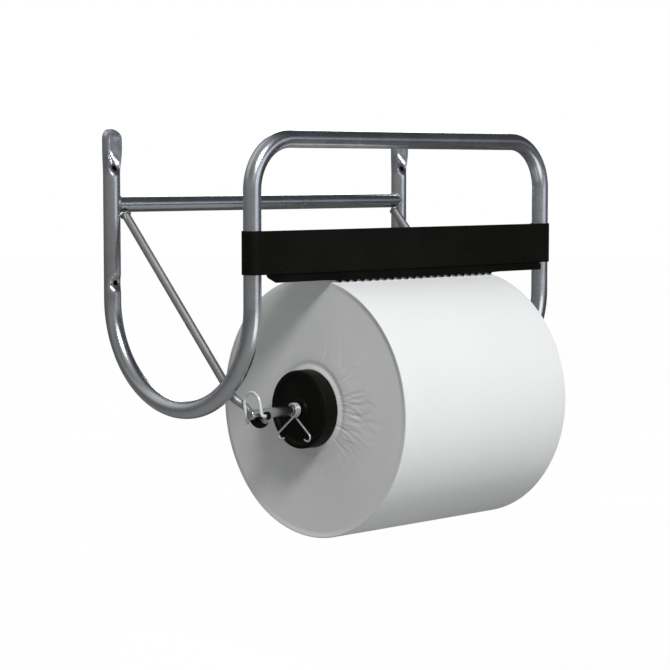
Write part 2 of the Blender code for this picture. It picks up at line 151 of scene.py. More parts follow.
class HolderColours(bpy.types.PropertyGroup):
    """Colours of the holder's finishes."""
    steel: colour_of("Tube steel", "Polished steel of the tubes", (0.60, 0.61, 0.635))
    rod: colour_of("Rod steel", "Duller steel of the braces", (0.44, 0.445, 0.445))
    bright: colour_of("Bright wire", "Zinc-bright wire of the latches", (0.84, 0.84, 0.85))
    spring: colour_of("Spring wire", "Wire of the spring clips", (0.66, 0.67, 0.66))
    paint: colour_of("Black paint", "Satin paint of the band and blade", (0.0032, 0.0029, 0.0019))
    plastic: colour_of("Black plastic", "Plastic of the cones and sleeves", (0.0032, 0.0029, 0.0019))
    paper: colour_of("Paper", "Soft white paper of the roll", (0.86, 0.865, 0.86))
    board: colour_of("Core board", "Pale grey board of the core", (0.60, 0.585, 0.55))
    # near-black painted shade for the faces inside the screw holes and the legs' hollow
    hollow: colour_of("Painted hole shade", "Painted shade on the steel inside the holes", (0.035, 0.034, 0.034))


def sizes():
    """The holder's sizes in this scene."""
    return bpy.context.scene.holder_sizes


def colours():
    """The holder's colours in this scene."""
    return bpy.context.scene.holder_colours


# ================================================================ surfaces
def grid_mesh(name, points, uv=None, wrap_u=False, wrap_v=False, caps=False):
    """A mesh over a grid of points: rows along u, columns along v.

    Vertex (i, j) is points[i, j]; each cell joins (i, j), (i, j+1), (i+1, j+1), (i+1, j), and the last
    row or column joins the first where the surface wraps. With caps, the first and last rows are
    closed by one face each. The UV map holds uv[i, j], or the cell's own indices."""
    rows, columns = points.shape[:2]
    i = np.arange(rows if wrap_u else rows - 1)[:, None]
    j = np.arange(columns if wrap_v else columns - 1)[None, :]
    below, beside = (i + 1) % rows, (j + 1) % columns
    quads = np.stack([i * columns + j, i * columns + beside, below * columns + beside,
                      below * columns + j], axis=-1).reshape(-1, 4)
    faces = quads.tolist()
    if caps:
        faces.append(list(range(columns - 1, -1, -1)))
        faces.append([(rows - 1) * columns + column for column in range(columns)])
    mesh = bpy.data.meshes.new(name)
    mesh.from_pydata(points.reshape(-1, 3), [], faces)
    if uv is None:
        uv = np.stack(np.meshgrid(np.arange(rows), np.arange(columns), indexing="ij"), axis=-1)
    corners = np.stack([uv_corner(uv, i, j), uv_corner(uv, i, j + 1), uv_corner(uv, i + 1, j + 1),
                        uv_corner(uv, i + 1, j)], axis=2).reshape(-1, 2)
    spare = np.zeros((len(mesh.loops) - len(corners), 2))
    layer = mesh.uv_layers.new(name="surface")
    layer.data.foreach_set("uv", np.concatenate([corners, spare]).ravel().astype(np.float32))
    mesh.polygons.foreach_set("use_smooth", np.ones(len(mesh.polygons), dtype=bool))
    mesh.update()
    face_out(mesh)
    return mesh


def face_out(mesh):
    """Turn the faces of a closed mesh round where its signed volume is negative."""
    work = bmesh.new()
    work.from_mesh(mesh)
    if work.calc_volume(signed=True) < 0:
        mesh.flip_normals()
    work.free()


def uv_corner(uv, i, j):
    """UV of a cell's corner; past the last row or column the map goes on by one more step."""
    rows, columns = uv.shape[:2]
    column = np.minimum(j, columns - 1)
    value = uv[np.minimum(i, rows - 1), column].astype(float)
    if rows > 1:
        step = uv[-1:, :][:, column[0]] - uv[-2:-1, :][:, column[0]]
        value = value + (i >= rows)[..., None] * step
    step = (uv[:, -1:] - uv[:, -2:-1])[np.minimum(i[:, 0], rows - 1)]
    return value + (j >= columns)[..., None] * step


def place(name, mesh, materials, body, nodes=(), crease=40):
    """Put a finished mesh in the scene, riding on its body."""
    piece = bpy.data.objects.new(name, mesh)
    bpy.context.scene.collection.objects.link(piece)
    for material in materials:
        mesh.materials.append(material)
    if crease:
        mesh.set_sharp_from_angle(angle=math.radians(crease))
    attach(piece, body)
    if nodes:
        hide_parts(*nodes)
    return piece


def unit(vectors):
    """Each vector divided by its length."""
    return vectors / np.maximum(np.linalg.norm(vectors, axis=-1, keepdims=True), 1e-12)


def along(path):
    """Distance along a path at each of its points."""
    steps = np.linalg.norm(np.diff(path, axis=0), axis=1)
    return np.concatenate([[0.0], np.cumsum(steps)])


def carried_frames(path, first):
    """Two axes across the path at each station, carried along without twist.

    The first axis starts along first and is turned at each station by the least turn that keeps it
    square to the path."""
    tangents = unit(np.gradient(path, axis=0))
    normal = np.array(first, dtype=float)
    normals = []
    for tangent in tangents:
        normal = unit(normal - np.dot(normal, tangent) * tangent)
        normals.append(normal)
    normals = np.array(normals)
    return normals, np.cross(tangents, normals)


def tube(path, radius, first, sides=32):
    """Points of a round tube: path(s) + r(s) (cos a N(s) + sin a B(s))."""
    normals, binormals = carried_frames(path, first)
    angle = np.linspace(0, 2 * np.pi, sides, endpoint=False)
    radius = np.broadcast_to(radius, len(path))[:, None, None]
    cosine, sine = np.cos(angle)[None, :, None], np.sin(angle)[None, :, None]
    return path[:, None] + radius * (cosine * normals[:, None] + sine * binormals[:, None])


def wound_uv(path, sides):
    """Around a tube or a turned shape as turns, along it in decimetres."""
    turns = np.linspace(0, 1, sides, endpoint=False)
    return np.stack(np.broadcast_arrays(turns[None, :], 10 * along(path)[:, None]), axis=-1)


def tube_mesh(name, path, radius, first, sides=32, rounded=0.0):
    """A closed round rod along path; rounded takes that much off the ends in a quarter circle."""
    if rounded:
        path, radius = rounded_ends(path, radius, rounded)
    return grid_mesh(name, tube(path, radius, first, sides), wound_uv(path, sides), wrap_v=True, caps=True)


def rounded_ends(path, radius, rounding):
    """Add stations at both ends whose radius falls off in a quarter circle."""
    radius = np.broadcast_to(radius, len(path)).astype(float)
    turn = np.linspace(0, np.pi / 2, 6)
    inset = rounding * (1 - np.sin(turn))
    drop = rounding * (1 - np.cos(turn))
    start = unit(path[1] - path[0])
    end = unit(path[-1] - path[-2])
    head = path[0] + inset[::-1][:, None] * start
    tail = path[-1] - inset[:, None] * end
    path = np.concatenate([head, path[1:-1], tail])
    radius = np.concatenate([radius[0] - drop[::-1], radius[1:-1], radius[-1] - drop])
    return path, radius


def arc(centre, first, second, radius, start, stop, steps):
    """Points centre + r (cos a first + sin a second) for a from start to stop."""
    angle = np.linspace(start, stop, steps + 1)[:, None]
    return centre + radius * (np.cos(angle) * first + np.sin(angle) * second)


def joined(*runs):
    """One path from several runs, without the points that repeat where two runs meet."""
    path = np.concatenate([np.atleast_2d(run) for run in runs])
    keep = np.concatenate([[True], np.linalg.norm(np.diff(path, axis=0), axis=1) > 1e-6])
    return path[keep]


def line(start, stop, steps):
    """Points (1 - t) start + t stop for t from 0 to 1."""
    share = np.linspace(0, 1, steps + 1)[:, None]
    return (1 - share) * start + share * stop


def turned_mesh(name, profile, centre, axis, across, steps=96, closed=True):
    """A turned shape: profile (radius, height) carried round axis through centre.

    The point is centre + h axis + r (cos a across + sin a (axis x across))."""
    profile = np.asarray(profile, dtype=float)
    angle = np.linspace(0, 2 * np.pi, steps, endpoint=False)
    other = np.cross(axis, across)
    ring = np.cos(angle)[None, :, None] * across + np.sin(angle)[None, :, None] * other
    points = centre + profile[:, 1][:, None, None] * axis + profile[:, 0][:, None, None] * ring
    return grid_mesh(name, points, wound_uv(profile, steps), wrap_u=closed, wrap_v=True, caps=not closed)


def rounded_profile(points, radius, steps=4):
    """A closed profile with its corners rounded by short quadratic curves."""
    points = np.asarray(points, dtype=float)
    before = np.roll(points, 1, axis=0) - points
    after = np.roll(points, -1, axis=0) - points
    shorter = np.minimum(np.linalg.norm(before, axis=1), np.linalg.norm(after, axis=1))
    reach = np.minimum(radius, 0.4 * shorter)[:, None]
    enter = (points + reach * unit(before))[:, None]
    leave = (points + reach * unit(after))[:, None]
    share = np.linspace(0, 1, steps + 1)[None, :, None]
    curve = (1 - share) ** 2 * enter + 2 * share * (1 - share) * points[:, None] + share ** 2 * leave
    return curve.reshape(-1, 2)


def face_centres(mesh):
    """The middle of each face as an array."""
    centres = np.empty(3 * len(mesh.polygons))
    mesh.polygons.foreach_get("center", centres)
    return centres.reshape(-1, 3)


def applied(piece):
    """Turn a piece's live modifiers into its mesh."""
    graph = bpy.context.evaluated_depsgraph_get()
    mesh = bpy.data.meshes.new_from_object(piece.evaluated_get(graph), preserve_all_data_layers=True,
                                           depsgraph=graph)
    old = piece.data
    piece.modifiers.clear()
    piece.data = mesh
    bpy.data.meshes.remove(old)
    return piece


def carve(piece, meshes):
    """Cut closed meshes out of a piece and leave the result as its mesh."""
    tools = []
    for mesh in meshes:
        tool = bpy.data.objects.new("tool", mesh)
        bpy.context.scene.collection.objects.link(tool)
        tools.append(tool)
        cut = piece.modifiers.new("cut", "BOOLEAN")
        cut.operation = "DIFFERENCE"
        cut.solver = "EXACT"
        cut.object = tool
    bpy.context.view_layer.update()
    applied(piece)
    for tool in tools:
        mesh = tool.data
        bpy.data.objects.remove(tool, do_unlink=True)
        bpy.data.meshes.remove(mesh)
    return piece


def smooth(value):
    """Soft step 3t^2 - 2t^3, held at 0 and 1 outside."""
    value = np.clip(value, 0.0, 1.0)
    return value * value * (3 - 2 * value)


# ================================================================ materials
class NodeGraph:
    """Short words for wiring one node tree."""

    def __init__(self, tree):
        """Keep the tree's nodes and links."""
        self.nodes, self.links = tree.nodes, tree.links

    def node(self, kind, **values):
        """A new node with its settings."""
        made = self.nodes.new(kind)
        for key, value in values.items():
            setattr(made, key, value)
        return made

    def coordinates(self, source="Object", scale=(1, 1, 1)):
        """Object or UV coordinates, stretched by scale."""
        texture = self.node("ShaderNodeTexCoord")
        mapping = self.node("ShaderNodeMapping")
        mapping.inputs["Scale"].default_value = scale
        self.links.new(texture.outputs[source], mapping.inputs["Vector"])
        return mapping.outputs["Vector"]

    def noise(self, vector, scale, detail=3.0, rough=0.5):
        """Noise along a vector."""
        made = self.node("ShaderNodeTexNoise")
        made.inputs["Scale"].default_value = scale
        made.inputs["Detail"].default_value = detail
        made.inputs["Roughness"].default_value = rough
        self.links.new(vector, made.inputs["Vector"])
        return made.outputs["Fac"]

    def spread(self, value, low, high, from_low=0.3, from_high=0.7, **kind):
        """Map a value onto low..high, held outside."""
        made = self.node("ShaderNodeMapRange", **kind)
        for name, amount in zip(("From Min", "From Max", "To Min", "To Max"),
                                (from_low, from_high, low, high)):
            made.inputs[name].default_value = amount
        self.links.new(value, made.inputs["Value"])
        return made.outputs["Result"]

    def ease(self, value, from_low, from_high, low, high):
        """Map a value onto low..high with soft ends, held outside."""
        return self.spread(value, low, high, from_low, from_high, interpolation_type="SMOOTHSTEP")

    def shares(self, first, second, share):
        """One value as share of the first and the rest of the second."""
        return self.math("ADD", self.math("MULTIPLY", first, share),
                         self.math("MULTIPLY", second, round(1 - share, 3)))

    def math(self, operation, first, second=None):
        """A sum on one or two values or sockets."""
        made = self.node("ShaderNodeMath", operation=operation)
        for socket, value in zip(made.inputs, (first, second)):
            if isinstance(value, (int, float)):
                socket.default_value = value
            elif value is not None:
                self.links.new(value, socket)
        return made.outputs["Value"]

    def product(self, *factors):
        """All the factors multiplied."""
        total = factors[0]
        for factor in factors[1:]:
            total = self.math("MULTIPLY", total, factor)
        return total

    def axes(self, vector):
        """A vector's three parts."""
        split = self.node("ShaderNodeSeparateXYZ")
        self.links.new(vector, split.inputs["Vector"])
        return [split.outputs[axis] for axis in "XYZ"]

    def seen_as(self, others, seen, output):
        """Show one shader to the eye and another to every other ray."""
        mix = self.node("ShaderNodeMixShader")
        self.links.new(self.node("ShaderNodeLightPath").outputs["Is Camera Ray"], mix.inputs["Fac"])
        self.links.new(others, mix.inputs[1])
        self.links.new(seen, mix.inputs[2])
        self.links.new(mix.outputs["Shader"], self.nodes[output].inputs["Surface"])

    def blend(self, factor, first, second):
        """Mix two colours; each is a colour or a socket."""
        made = self.node("ShaderNodeMix", data_type="RGBA")
        self.links.new(factor, made.inputs["Factor"])
        for socket, value in zip((made.inputs[6], made.inputs[7]), (first, second)):
            if isinstance(value, tuple):
                socket.default_value = (*value, 1.0)
            else:
                self.links.new(value, socket)
        return made.outputs[2]


class Look(NodeGraph):
    """One procedural material round a Principled shader."""

    def __init__(self, name, colour, roughness, metallic=0.0):
        """A new material with flat starting values; the rest is wired on top."""
        self.material = bpy.data.materials.new(name)
        self.material.use_nodes = True
        super().__init__(self.material.node_tree)
        self.shader = self.nodes["Principled BSDF"]
        self.shader.inputs["Base Color"].default_value = (*colour, 1.0)
        self.shader.inputs["Roughness"].default_value = roughness
        self.shader.inputs["Metallic"].default_value = metallic
        self.bump_chain = None

    def colour(self, socket):
        """Drive the base colour."""
        self.links.new(socket, self.shader.inputs["Base Color"])

    def roughness(self, socket):
        """Drive the roughness."""
        self.links.new(socket, self.shader.inputs["Roughness"])

    def bump(self, height, distance, strength=1.0):
        """Add a bump; several bumps follow one another."""
        made = self.node("ShaderNodeBump")
        made.inputs["Strength"].default_value = strength
        made.inputs["Distance"].default_value = distance
        self.links.new(height, made.inputs["Height"])
        if self.bump_chain is not None:
            self.links.new(self.bump_chain, made.inputs["Normal"])
        self.bump_chain = made.outputs["Normal"]
        self.links.new(self.bump_chain, self.shader.inputs["Normal"])


def shade(colour, factor):
    """A colour made darker or lighter by a factor."""
    return tuple(min(channel * factor, 1.0) for channel in colour)


def steel_look(name, colour, low, high, draw=0.00003, metal=1.0):
    """Polished steel: faint lines drawn along the tube, cloudy wipe marks and small specks."""
    look = Look(name, colour, low, metal)
    lines = look.noise(look.coordinates("UV", (60, 1.2, 1)), 3.0, 4.0, 0.6)
    wipes = look.noise(look.coordinates("Object"), 28.0, 4.0, 0.55)
    specks = look.noise(look.coordinates("Object"), 900.0, 2.0, 0.6)
    tone = look.shares(wipes, lines, 0.7)
    look.colour(look.blend(look.spread(tone, 0.0, 1.0), shade(colour, 0.86), shade(colour, 1.08)))
    look.roughness(look.spread(look.shares(wipes, specks, 0.6), low, high))
    look.bump(lines, draw, 0.6)
    look.bump(look.noise(look.coordinates("UV"), 14.0, 2.0), 0.00004, 0.5)
    return look.material


def paint_look(name, colour, roughness):
    """Satin black coating: orange peel and slightly rubbed patches."""
    look = Look(name, colour, roughness)
    look.shader.inputs["Specular IOR Level"].default_value = 0.10
    peel = look.noise(look.coordinates("Object"), 650.0, 2.0)
    patches = look.noise(look.coordinates("Object"), 22.0, 4.0)
    look.colour(look.blend(look.spread(patches, 0.0, 1.0), shade(colour, 0.8), shade(colour, 1.5)))
    look.roughness(look.spread(patches, roughness - 0.06, roughness + 0.10))
    look.bump(peel, 0.00006, 0.5)
    return look.material


def crepe_look(name, colour):
    """Soft paper seen on its sheet side: crepe lines across the web, an embossed dot grid, fibres."""
    look = Look(name, colour, 0.95)
    look.shader.inputs["Specular IOR Level"].default_value = 0.12
    look.shader.inputs["Sheen Weight"].default_value = 0.12
    fibre = look.noise(look.coordinates("UV", (900, 300, 1)), 1.0, 4.0, 0.65)
    crepe = look.noise(look.coordinates("UV", (1500, 60, 1)), 1.0, 3.0, 0.6)
    soft = look.noise(look.coordinates("Object"), 9.0, 3.0)
    dots = look.node("ShaderNodeTexVoronoi", feature="F1")
    dots.inputs["Scale"].default_value = 1.0
    dots.inputs["Randomness"].default_value = 0.15
    look.links.new(look.coordinates("UV", (180, 55, 1)), dots.inputs["Vector"])
    dimple = look.spread(dots.outputs["Distance"], 0.0, 1.0, 0.0, 0.35)
    tone = look.shares(fibre, soft, 0.5)
    look.colour(look.blend(look.spread(tone, 0.0, 1.0), shade(colour, 0.965), shade(colour, 1.02)))
    look.bump(soft, 0.0009, 0.25)
    look.bump(crepe, 0.00012, 0.45)
    look.bump(dimple, 0.00010, 0.35)
    look.bump(fibre, 0.00006, 0.5)
    return look.material


def roll_end_look(name, colour, centre):
    """The roll's end: hundreds of sheet edges as fine rings, with soft bands of darker winding."""
    look = Look(name, colour, 0.97)
    look.shader.inputs["Specular IOR Level"].default_value = 0.08
    _, y, z = look.axes(look.coordinates("Object"))
    across, up = look.math("SUBTRACT", y, float(centre[1])), look.math("SUBTRACT", z, float(centre[2]))
    square = look.math("ADD", look.math("MULTIPLY", across, across), look.math("MULTIPLY", up, up))
    reach = look.math("SQRT", square)
    ring = look.node("ShaderNodeCombineXYZ")
    look.links.new(reach, ring.inputs["X"])
    wander = look.math("MULTIPLY", look.noise(look.coordinates("Object"), 6.0, 2.0), 0.004)
    look.links.new(wander, ring.inputs["Y"])
    fine = look.noise(ring.outputs["Vector"], 2600.0, 2.0, 0.7)
    bands = look.noise(ring.outputs["Vector"], 190.0, 4.0, 0.6)
    lint = look.noise(look.coordinates("Object"), 420.0, 4.0, 0.7)
    cloud = look.noise(look.coordinates("Object"), 16.0, 4.0)
    tone = look.shares(bands, cloud, 0.45)
    base = look.blend(look.spread(tone, 0.0, 1.0), shade(colour, 0.90), shade(colour, 0.96))
    look.colour(look.blend(look.spread(fine, 0.0, 0.25), base, shade(colour, 0.80)))
    look.bump(bands, 0.0003, 0.12)
    look.bump(fine, 0.00012, 0.25)
    look.bump(lint, 0.00020, 0.35)
    return look.material


def board_look(name, colour):
    """Core board: fibres and the faint lines of its wound layers."""
    look = Look(name, colour, 0.9)
    fibre = look.noise(look.coordinates("Object"), 240.0, 5.0, 0.7)
    winding = look.node("ShaderNodeTexWave", wave_type="BANDS")
    winding.inputs["Scale"].default_value = 1.0
    winding.inputs["Distortion"].default_value = 0.3
    look.links.new(look.coordinates("UV", (6.28, 9, 1)), winding.inputs["Vector"])
    look.colour(look.blend(look.spread(fibre, 0.0, 1.0), shade(colour, 0.85), shade(colour, 1.1)))
    look.bump(winding.outputs["Fac"], 0.0002, 0.3)
    look.bump(fibre, 0.0002, 0.4)
    return look.material


def weld_look(name, colour):
    """Weld metal: scorched patches, rougher where they are dark."""
    look = Look(name, colour, 0.38, 1.0)
    scorch = look.noise(look.coordinates("Object"), 160.0, 4.0)
    look.colour(look.blend(look.spread(scorch, 0.0, 1.0), shade(colour, 0.45), shade(colour, 0.95)))
    look.roughness(look.spread(scorch, 0.28, 0.55))
    look.bump(look.noise(look.coordinates("Object"), 700.0, 3.0), 0.0002, 0.5)
    return look.material


def look_of(name, make, *values):
    """A material made once and shared."""
    found = bpy.data.materials.get(name)
    return found or make(name, *values)


def tube_steel():
    """The frame tube and crossbar."""
    return look_of("polished_tube_steel", steel_look, tuple(colours().steel), 0.20, 0.30)


def rod_steel():
    """The braces."""
    return look_of("satin_rod_steel", steel_look, tuple(colours().rod), 0.42, 0.56, 0.00005)


def black_paint():
    """The band, blade and rivets."""
    return look_of("satin_black_paint", paint_look, tuple(colours().paint), 0.50)


def black_plastic():
    """The cones, sleeves and eyes."""
    return look_of("moulded_black_plastic", paint_look, tuple(colours().plastic), 0.46)


def weld_metal():
    """The weld beads."""
    return look_of("weld_bead", weld_look, tuple(colours().rod))


# ================================================================ frame tube
def leg_rounding(z, top, length):
    """Share of its size that a section keeps near the leg's end: a quarter ellipse over length."""
    above = np.clip((z - (top - length)) / length, 0.0, 0.999)
    return np.sqrt(1 - above ** 2)


def pressed(points, top):
    """The plain tube's points after the legs are pressed.

    Above spoon_start the front wall sinks by A(z) (1 - (x/w)^2) towards the back wall and the rims
    spread; round the lower hole it sinks by a cosine-squared dimple; the end is rounded off."""
    size = sizes()
    radius = size.tube_radius
    rim_share, rim_forward, rim_wider = 0.85, 0.003, 0.12
    hole_sink, hole_spread = 0.14, 0.0055
    sunk_to, tip_depth, dimple_run = 0.5 * radius, 0.003, 0.006
    leg = (points[..., 1] > -2.6 * radius) & (points[..., 2] > -1.26 * size.hole_height)
    side = np.sign(points[..., 0])
    across = np.abs(points[..., 0]) - size.leg_spacing
    depth = points[..., 1] + radius
    z = points[..., 2]
    amount = smooth((z - size.spoon_start) / (size.spoon_full - size.spoon_start))
    share = np.abs(across) / (rim_share * radius)
    hollow = (depth < 0) * np.clip(1 - share ** 2, 0, 1) ** 0.9
    near = np.exp(-((z - size.hole_height) / hole_spread) ** 2)
    press = 1 - (1 - amount) * (1 - hole_sink * near)
    depth = depth + press * hollow * (sunk_to - depth)
    rim = (depth < 0) * smooth((share - 0.75) / 0.4) * (np.abs(across) < 0.97 * radius)
    depth = depth - amount * rim_forward * rim
    low = np.clip(np.abs(z + size.hole_height) / size.dimple_reach, 0, 1)
    middle = np.clip(1 - (across / radius) ** 2, 0, 1)
    dimple = size.dimple_depth * np.cos(np.pi / 2 * low) ** 2 * middle
    depth = depth + dimple * np.clip(-depth / dimple_run, 0, 1)
    across = across * (1 + rim_wider * amount) * leg_rounding(z, top, radius)
    depth = tip_depth + (depth - tip_depth) * leg_rounding(z, top, size.tip_slope)
    moved = np.stack([side * (size.leg_spacing + across), depth - radius, z], axis=-1)
    return np.where(leg[..., None], moved, points)


def frame_path(top):
    """Centre line of the whole tube: leg, J bend, post, corner, top bar, and the mirror image."""
    size = sizes()
    low = edges("frame_tube")[0]
    radius, half = size.tube_radius, size.leg_spacing
    leg_y, front_y = -radius, low[1] + radius
    bend = (leg_y - front_y) / 2
    spring_z = low[2] + radius + bend
    top_z = top_bar_height()
    eased, tip_gap = 0.02, 0.0002
    tip = top - tip_gap - eased * (1 - np.cos(np.linspace(0, np.pi / 2, 26)))
    pressed_zone = np.linspace(top - eased - 0.0005, -1.25 * size.hole_height, 150)
    heights = np.concatenate([tip, pressed_zone[1:]])
    leg = np.stack([np.full_like(heights, -half), np.full_like(heights, leg_y), heights], axis=1)
    j_bend = arc(np.array([-half, leg_y - bend, spring_z]), Y, -Z, bend, 0, np.pi, 72)
    turn = np.array([-half + size.corner_radius, front_y, top_z - size.corner_radius])
    post = line(j_bend[-1], turn - size.corner_radius * X, 14)
    corner = arc(turn, -X, Z, size.corner_radius, 0, np.pi / 2, 28)
    bar = line(corner[-1], np.array([0.0, front_y, top_z]), 16)
    left = joined(leg, j_bend, post, corner, bar)
    return joined(left, left[::-1] * (-1, 1, 1))


def top_bar_height():
    """Height of the top bar's middle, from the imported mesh."""
    mesh = frame["nodes"]["frame_tube"].data
    points = np.empty(3 * len(mesh.vertices))
    mesh.vertices.foreach_get("co", points)
    points = points.reshape(-1, 3)
    return points[points[:, 1] < -0.15, 2].max() - sizes().tube_radius


class HOLDER_OT_frame_tube(bpy.types.Operator):
    """Add the bent frame tube with its pressed legs and screw holes."""
    bl_idname = "holder.frame_tube"
    bl_label = "Frame tube"
    bore_share = 0.61       # radius of a leg's hollow, as a share of the tube's
    bore_back = 0.0018      # how far the hollow's middle lies behind the tube's

    def execute(self, context):
        """A round tube along frame_path, pressed at its legs, hollowed and drilled."""
        size = sizes()
        top = edges("frame_tube")[1][2]
        path = frame_path(top)
        sides = 40
        points = pressed(tube(path, size.tube_radius, X, sides), top)
        mesh = grid_mesh("frame_tube_skin", points, wound_uv(path, sides), wrap_v=True, caps=True)
        piece = place("frame_tube_skin", mesh, [tube_steel()], "frame", ["frame_tube"],
                      crease=0)
        carve(piece, self.cavities(size) + self.drills(size))
        # paint shade onto the faces inside the holes and the hollow
        self.paint_hole_shade(piece.data, size)
        piece.data.polygons.foreach_set("use_smooth", np.ones(len(piece.data.polygons), dtype=bool))
        piece.data.set_sharp_from_angle(angle=math.radians(38))
        return {"FINISHED"}

    def cavities(self, size):
        """The hollow inside each leg, so that the lower holes open into the dark."""
        made = []
        for _, side in SIDES:
            bottom = np.array([side * size.leg_spacing, -size.tube_radius + self.bore_back,
                               -1.2 * size.hole_height])
            path = line(bottom, bottom + (size.spoon_start - 0.006 - bottom[2]) * Z, 6)
            made.append(tube_mesh("cavity", path, self.bore_share * size.tube_radius, X, 24))
        return made

    def drills(self, size):
        """A straight round hole through each pressed spot."""
        made = []
        for _, side in SIDES:
            for height in (-size.hole_height, size.hole_height):
                middle = np.array([side * size.leg_spacing, -size.tube_radius, height])
                path = line(middle - 0.02 * Y, middle + 0.02 * Y, 4)
                made.append(tube_mesh("drill", path, size.hole_radius, X, 28))
        return made

    def paint_hole_shade(self, mesh, size):
        """Faces inside the holes and the hollow take painted shade: a near-black steel colour, with the
        rougher finish of unpolished steel.
        """
        # the near-black colour is painted shade in the holes; the higher roughness is the unpolished steel
        # there
        mesh.materials.append(look_of("raw_inner_steel", steel_look, tuple(colours().hollow), 0.55, 0.75))
        x, y, z = face_centres(mesh).T
        across = np.abs(x) - size.leg_spacing
        in_hole = np.hypot(across, np.abs(z) - size.hole_height) < size.hole_radius + 0.00002
        from_middle = np.hypot(across, y + size.tube_radius - self.bore_back)
        in_leg = from_middle < (self.bore_share + 0.01) * size.tube_radius
        in_leg &= (z > -1.21 * size.hole_height) & (z < size.spoon_start)
        at_wall = y > -2.1 * size.tube_radius
        mesh.polygons.foreach_set("material_index", (at_wall & (in_hole | in_leg)).astype(np.int32))


# ================================================================ crossbar, braces, hooks
def weld_ring(name, centre, axis, across, major, minor, ripples):
    """A weld bead: a ring of radius major whose thickness swells and shrinks along it.

    The thickness is minor (1 + 0.16 |sin(n a / 2)| - 0.08 cos 3a) for n ripples."""
    angle = np.linspace(0, 2 * np.pi, 96)
    path = arc(centre, across, np.cross(axis, across), major, 0, 2 * np.pi, 95)
    radius = minor * (1 + 0.16 * np.abs(np.sin(ripples * angle / 2)) - 0.08 * np.cos(3 * angle))
    return tube_mesh(name, path, radius, axis, 10)


class HOLDER_OT_crossbar(bpy.types.Operator):
    """Add the crossbar between the wall legs and its two welds."""
    bl_idname = "holder.crossbar"
    bl_label = "Crossbar"

    def execute(self, context):
        """A round bar that runs a little way into each leg, with a bead round each end."""
        size = sizes()
        low, high = edges("crossbar")
        raised, into_leg = 0.0003, 0.003
        height = (low[2] + high[2]) / 2 + raised
        depth = (low[1] + high[1]) / 2
        reach = size.leg_spacing - into_leg
        path = line(np.array([-reach, depth, height]), np.array([reach, depth, height]), 60)
        mesh = tube_mesh("crossbar_skin", path, size.cross_radius, Y, 40)
        place("crossbar_skin", mesh, [tube_steel()], "frame", ["crossbar"])
        for side_word, side in SIDES:
            seam = self.seam(size, side, depth, height)
            name = f"crossbar_weld_{side_word}"
            bead = tube_mesh(name, seam, self.swell(len(seam)), X, 10)
            place(name, bead, [weld_metal()], "frame")
        return {"FINISHED"}

    def seam(self, size, side, depth, height):
        """Where the bar meets the leg: x = half - sqrt(R^2 - (r cos a)^2) round the bar."""
        angle = np.linspace(0, 2 * np.pi, 121)
        y = size.cross_radius * np.cos(angle)
        z = size.cross_radius * np.sin(angle)
        x = size.leg_spacing - np.sqrt(size.tube_radius ** 2 - 0.96 * y ** 2)
        return np.stack([side * (x - 0.0002), depth + y, height + z], axis=1)

    def swell(self, count):
        """The bead's thickness: fine ripples, and thin where it comes near the wall."""
        run = np.linspace(0, 1, count)
        toward_wall = np.clip(np.cos(2 * np.pi * run), 0, 1)
        return 0.00115 * (1 + 0.18 * np.abs(np.sin(38 * np.pi * run))) * (1 - 0.7 * toward_wall)


class BraceLine:
    """A brace's straight line in the side view, running into the hook's arc round the axle."""

    def __init__(self, side_word, side):
        """The line starts on the crossbar and touches a circle of radius hook_r round the axle."""
        size = sizes()
        sleeve_low, sleeve_high = edges(f"hook_sleeve_{side_word}")
        cross_low, cross_high = edges("crossbar")
        below_bar, gap = 0.0047, 0.0003
        self.side = side
        self.hook_x = (sleeve_low[0] + sleeve_high[0]) / 2
        self.outer_x = side * (size.leg_spacing - size.tube_radius - size.brace_radius - gap)
        self.hook_r = size.axle_radius + size.sleeve_radius + gap
        self.top = np.array([0.0, -size.tube_radius, (cross_low[2] + cross_high[2]) / 2 - below_bar])
        to_axle = AXLE - self.top
        reach = math.hypot(to_axle[1], to_axle[2])
        angle = math.atan2(-to_axle[2], -to_axle[1]) + math.asin(self.hook_r / reach)
        self.along = np.array([0, -math.cos(angle), -math.sin(angle)])
        self.normal = np.array([0, math.sin(angle), -math.cos(angle)])
        self.tangent = math.sqrt(reach ** 2 - self.hook_r ** 2)

    def at(self, distance, x):
        """Points top + d along, moved to x."""
        points = self.top + np.atleast_1d(distance)[:, None] * self.along
        points[:, 0] = x
        return points

    def hook(self, sweep, steps):
        """Points on the hook's arc, from where the straight line touches it."""
        centre = AXLE + self.hook_x * X
        return arc(centre, self.normal, self.along, self.hook_r, 0, sweep, steps)


